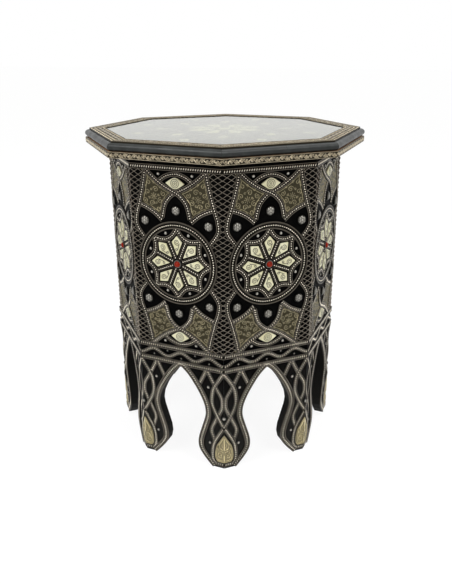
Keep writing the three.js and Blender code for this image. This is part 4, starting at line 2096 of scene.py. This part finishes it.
@dataclass
class InlaidPanel:
    """The panel under the glass: a bone flower and straps on a dark ground."""

    face: FaceField
    finishes: Finishes
    ground_drop: float = 0.8
    bone_rise: float = 0.75
    # Tip, shoulder, half width and outer end of a petal
    flower: tuple[float, ...] = (16.0, 48.0, 11.6, 61.6)
    near_petals: tuple[float, ...] = (83.1, 96.9, 8.0, 107.3)
    far_petals: tuple[float, ...] = (128.1, 140.2, 8.0, 148.9)
    star_tip: float = 74.0
    star_waist: float = 52.0
    ring: float = 77.0
    ring_width: float = 9.0
    ring_rim: float = 2.4
    ring_points: int = 120
    border: float = 166.0
    border_rim: float = 1.4
    spoke_start: float = 10.0
    arch_pitch: float = 3.0
    stud: float = 4.6
    stud_radius: float = 112.0
    stud_facets: tuple[int, int] = (20, 8)
    stud_rub: Pair = (-0.5, 1.0)
    petal_arris: float = 0.2
    middle: float = 9.0
    middle_points: int = 24
    scroll_radii: tuple[float, ...] = (6.0, 3.6, 3.4)
    scroll_turns: float = 1.9
    line_section: tuple[Point, ...] = ((0.35, -0.05), (0.35, 0.03))
    # Distance from the middle and angle from the arch's middle line
    near_arch: tuple[Pair, ...] = ((77, 17.5), (100, 10), (118, 0))
    far_arch: tuple[Pair, ...] = ((103, 13.5), (138, 8.5), (159, 0))
    relief: Relief = field(default_factory=lambda: Relief(0.12, 0.3, 0.14))

    def petals(self, index: int) -> list[tuple[tuple[float, ...], float]]:
        """Gives the petals of one eighth, each with the angle at which it points."""
        kinds = (self.flower, self.near_petals, self.far_petals)
        return [(kind, TURN * (index + turns)) for kind, turns in zip(kinds, (0, 0.5, 0))]

    def arch(self, half: tuple[Pair, ...], middle: float) -> Line:
        """Draws a pointed arch.

        Args:
            half: Distances and angles of one of its halves.
            middle: The angle of its middle line.

        Returns:
            The open line.
        """
        foot = [polar(radius, middle - angle) for radius, angle in half]
        other = [polar(radius, middle + angle) for radius, angle in reversed(half[:-1])]
        return evened(smooth([*foot, *other]), self.arch_pitch)

    def straps(self) -> list[Strap]:
        """Gives the straps of the panel.

        Returns:
            The ring, the star, the border, the spokes and the arches.
        """
        star = self.face.star(self.star_tip, self.star_waist)
        border = octagon(self.border)
        ring = circle(self.ring, self.ring_points)
        straps = [
            Strap(ring, Layer.TOP, self.ring_width, self.ring_rim, closed=True),
            Strap(star, Layer.HIGH, closed=True),
            Strap(border, Layer.TOP, self.ring_width, self.border_rim, closed=True),
        ]
        for i in range(SIDES):
            middle = TURN * (i + 0.5)
            spoke = [polar(self.spoke_start, middle), polar(self.star_waist, middle)]
            straps.append(Strap(spoke, Layer.LOW))
            straps.append(Strap(self.arch(self.near_arch, middle), Layer.HIGH))
            straps.append(Strap(self.arch(self.far_arch, TURN * i), Layer.LOW))
        return straps

    def metal(self, ground: float) -> None:
        """Makes the straps and the small studs.

        Args:
            ground: The height of the dark ground.
        """
        straps = self.straps()
        press = StrapPress(self.relief)
        parts = [press.bands(straps), press.marks(straps, lambda x, y: True)]
        places = [placed(*polar(self.stud_radius, TURN * i), 0) for i in range(SIDES)]
        head = worn_and_painted_shade(dome("head", self.stud, self.bone_rise, *self.stud_facets), *self.stud_rub)
        parts.append(scattered("heads", head, places))
        bpy.data.objects.remove(head)
        metal = joined("panel_straps", parts)
        metal.data.transform(Matrix.Translation((0, 0, ground)))
        laid(metal, self.finishes.strap)

    def bone(self, ground: float) -> None:
        """Makes the petals and the round piece in their middle.

        Args:
            ground: The height of the dark ground.
        """
        outlines = []
        for i in range(SIDES):
            for (tip, shoulder, half, reach), angle in self.petals(i):
                kite = [(tip, 0), (shoulder, -half), (reach, 0), (shoulder, half)]
                outlines.append(turned(kite, angle))
        outlines.append(circle(self.middle, self.middle_points))
        pieces = [slab("petal", outline, 0, self.bone_rise, self.petal_arris) for outline in outlines]
        bone = joined("panel_bone", pieces)
        bone.data.transform(Matrix.Translation((0, 0, ground)))
        # The bone under the glass takes a brighter copy of the bone finish, painted light that makes up for
        # the light the glass keeps from it
        laid(bone, self.finishes.panel_bone)

    def engraving(self, ground: float) -> None:
        """Makes the scrolls engraved in the petals.

        Args:
            ground: The height of the dark ground.
        """
        lines = []
        for i in range(SIDES):
            for (petal, angle), radius in zip(self.petals(i), self.scroll_radii):
                lines.append(spiral(polar(petal[1], angle), radius, self.scroll_turns, angle + 180))
        section = moved(symmetric(self.line_section), 0, ground + self.bone_rise)
        engraving = swept("panel_engraving", lines, section)
        laid(engraving, self.finishes.engraving)

    def build(self) -> None:
        """Makes the panel."""
        sizes = self.face.sizes
        low, high = sizes.panel
        ground = high - self.ground_drop
        base = slab("panel_ground", octagon(sizes.panel_apothem), low, ground)
        laid(base, self.finishes.resin, ["inlaid_top"])
        self.metal(ground)
        self.bone(ground)
        self.engraving(ground)


class PackedPieces:
    """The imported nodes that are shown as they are, in better finishes."""

    def __init__(self, finishes: Finishes) -> None:
        """Takes the finishes."""
        self.finishes = finishes

    def dress(self, nodes: dict[str, bpy.types.Object]) -> None:
        """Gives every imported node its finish.

        Args:
            nodes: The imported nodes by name.
        """
        kinds = {
            "side_panel": self.finishes.leather,
            "strapwork": self.finishes.strap,
            "stone": self.finishes.stone,
            "rim_moulding": self.finishes.lacquer,
            "frieze_strip": self.finishes.frieze,
            "glue_block": self.finishes.wood,
            "foot_leaf": self.finishes.leaf,
            "top_board": self.finishes.wood,
            "top_border": self.finishes.frieze,
            "inlaid_top": self.finishes.bone,
            "glass_pane": self.finishes.glass,
        }
        for name, node in nodes.items():
            kind = name.rstrip("0123456789").rstrip("_")
            node.data.materials.clear()
            node.data.materials.append(kinds[kind])
            log.info("%s: packed node in %s", name, kinds[kind].name)


@dataclass
class Studio:
    """Pale floor, soft light and the camera at the photograph's angle. Metres and degrees."""

    azimuth: float = 23.43
    elevation: float = 21.55
    distance: float = 1.07213
    target_height: float = 0.2309
    pan: float = 0.067
    roll: float = -0.308
    focal_pixels: float = 616.02
    image_height: int = 584
    sensor: float = 36.0
    nearest: float = 0.01
    floor_size: float = 40.0
    floor_colour: Colour = (0.92, 0.92, 0.91)
    floor_roughness: float = 0.9
    floor_glow: float = 1.06
    floor_share: float = 0.86
    sky: float = 0.58
    # Name, place, length of the sides and watts
    lamps: tuple[tuple[str, tuple[float, float, float], float, float], ...] = (
        ("key", (-0.9, -1.7, 2.0), 1.2, 28),
        ("fill", (1.8, -0.8, 2.1), 1.0, 24),
        ("top", (0.3, 0.6, 2.4), 1.2, 12),
    )

    def camera(self) -> None:
        """Places the camera."""
        azimuth, elevation = math.radians(self.azimuth), math.radians(self.elevation)
        away = Vector((
            math.sin(azimuth) * math.cos(elevation),
            -math.cos(azimuth) * math.cos(elevation),
            math.sin(elevation),
        ))
        place = Vector((0, 0, self.target_height)) + away * self.distance
        right = (-away).cross(Vector((0, 0, 1))).normalized()
        pan = math.radians(self.pan)
        forward = -away * math.cos(pan) + right * math.sin(pan)
        right = (right * math.cos(pan) + away * math.sin(pan)).normalized()
        up = right.cross(forward)
        roll = math.radians(self.roll)
        side = right * math.cos(roll) + up * math.sin(roll)
        up = up * math.cos(roll) - right * math.sin(roll)
        data = bpy.data.cameras.new("camera")
        data.sensor_width = self.sensor
        data.lens = self.focal_pixels / self.image_height * self.sensor
        data.clip_start = self.nearest
        camera = bpy.data.objects.new("camera", data)
        axes = Matrix((side, up, -forward)).transposed().to_4x4()
        camera.matrix_world = Matrix.Translation(place) @ axes
        bpy.context.collection.objects.link(camera)
        bpy.context.scene.camera = camera

    def lamp(self, name: str, place: Sequence[float], size: float, watts: float) -> None:
        """Adds a soft square lamp that looks at the stool.

        Args:
            name: The lamp's name.
            place: Where it hangs.
            size: The length of its sides.
            watts: Its strength.
        """
        data = bpy.data.lights.new(name, "AREA")
        data.size = size
        data.energy = watts
        lamp = bpy.data.objects.new(name, data)
        away = Vector(place) - Vector((0, 0, self.target_height))
        lamp.matrix_world = Matrix.Translation(place) @ away.to_track_quat("Z", "Y").to_matrix().to_4x4()
        bpy.context.collection.objects.link(lamp)

    def seen_rays(self, tree: bpy.types.NodeTree) -> bpy.types.NodeSocket:
        """Tells rays that see the background directly, in a gloss or through glass.

        Args:
            tree: The nodes to which this is added.

        Returns:
            1 for such rays, 0 for the others.
        """
        path = tree.nodes.new("ShaderNodeLightPath")
        total = path.outputs["Is Camera Ray"]
        for name in ("Is Glossy Ray", "Is Transmission Ray"):
            add = tree.nodes.new("ShaderNodeMath")
            add.operation = "MAXIMUM"
            tree.links.new(total, add.inputs[0])
            tree.links.new(path.outputs[name], add.inputs[1])
            total = add.outputs[0]
        return total

    def world(self) -> None:
        """Makes the world white where it is seen and even where it lights."""
        world = bpy.data.worlds.new("studio")
        bpy.context.scene.world = world
        world.use_nodes = True
        tree = world.node_tree
        background = tree.nodes["Background"]
        background.inputs["Color"].default_value = (1, 1, 1, 1)
        mix = tree.nodes.new("ShaderNodeMapRange")
        mix.inputs["To Min"].default_value = self.sky
        mix.inputs["To Max"].default_value = 1.0
        tree.links.new(self.seen_rays(tree), mix.inputs["Value"])
        tree.links.new(mix.outputs["Result"], background.inputs["Strength"])

    def floor(self) -> None:
        """Lays a pale floor that keeps the stool's soft shadow."""
        bpy.ops.object.select_all(action="DESELECT")
        bpy.ops.mesh.primitive_plane_add(size=self.floor_size)
        floor = bpy.context.active_object
        floor.name = "floor"
        recipe = Recipe("pale_floor")
        glow = recipe.node("ShaderNodeEmission", Color=(1, 1, 1, 1), Strength=self.floor_glow)
        mix = recipe.node("ShaderNodeMixShader")
        seen = recipe.spread(self.seen_rays(recipe.tree), 0, 1, 0, self.floor_share)
        recipe.link(seen, mix.inputs[0])
        recipe.link(recipe.shader.outputs[0], mix.inputs[1])
        recipe.link(glow.outputs[0], mix.inputs[2])
        recipe.link(mix.outputs[0], recipe.tree.nodes["Material Output"].inputs["Surface"])
        recipe.set(Base_Color=(*self.floor_colour, 1), Roughness=self.floor_roughness)
        floor.data.materials.append(recipe.material)

    def build(self) -> None:
        """Sets up the whole studio."""
        self.camera()
        self.world()
        self.floor()
        for lamp in self.lamps:
            self.lamp(*lamp)
        bpy.context.scene.view_settings.view_transform = "Standard"


def main() -> None:
    """Dresses the stool and sets up the studio."""
    logging.basicConfig(level=logging.INFO, format="%(name)s: %(message)s")
    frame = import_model()
    bpy.ops.object.select_all(action="DESELECT")
    Studio().build()
    sizes = Sizes.measured()
    face = FaceField(sizes)
    finishes = Finishes.mixed()
    PackedPieces(finishes).dress(frame["nodes"])
    FaceMetal(face, finishes).build()
    FaceBone(face, finishes).build()
    FaceStuds(face, finishes).build()
    FootLeaves(face, finishes).build()
    RimWork(sizes, finishes).build()
    TopBorder(sizes, finishes).build()
    InlaidPanel(face, finishes).build()


if __name__ == "__main__":
    main()
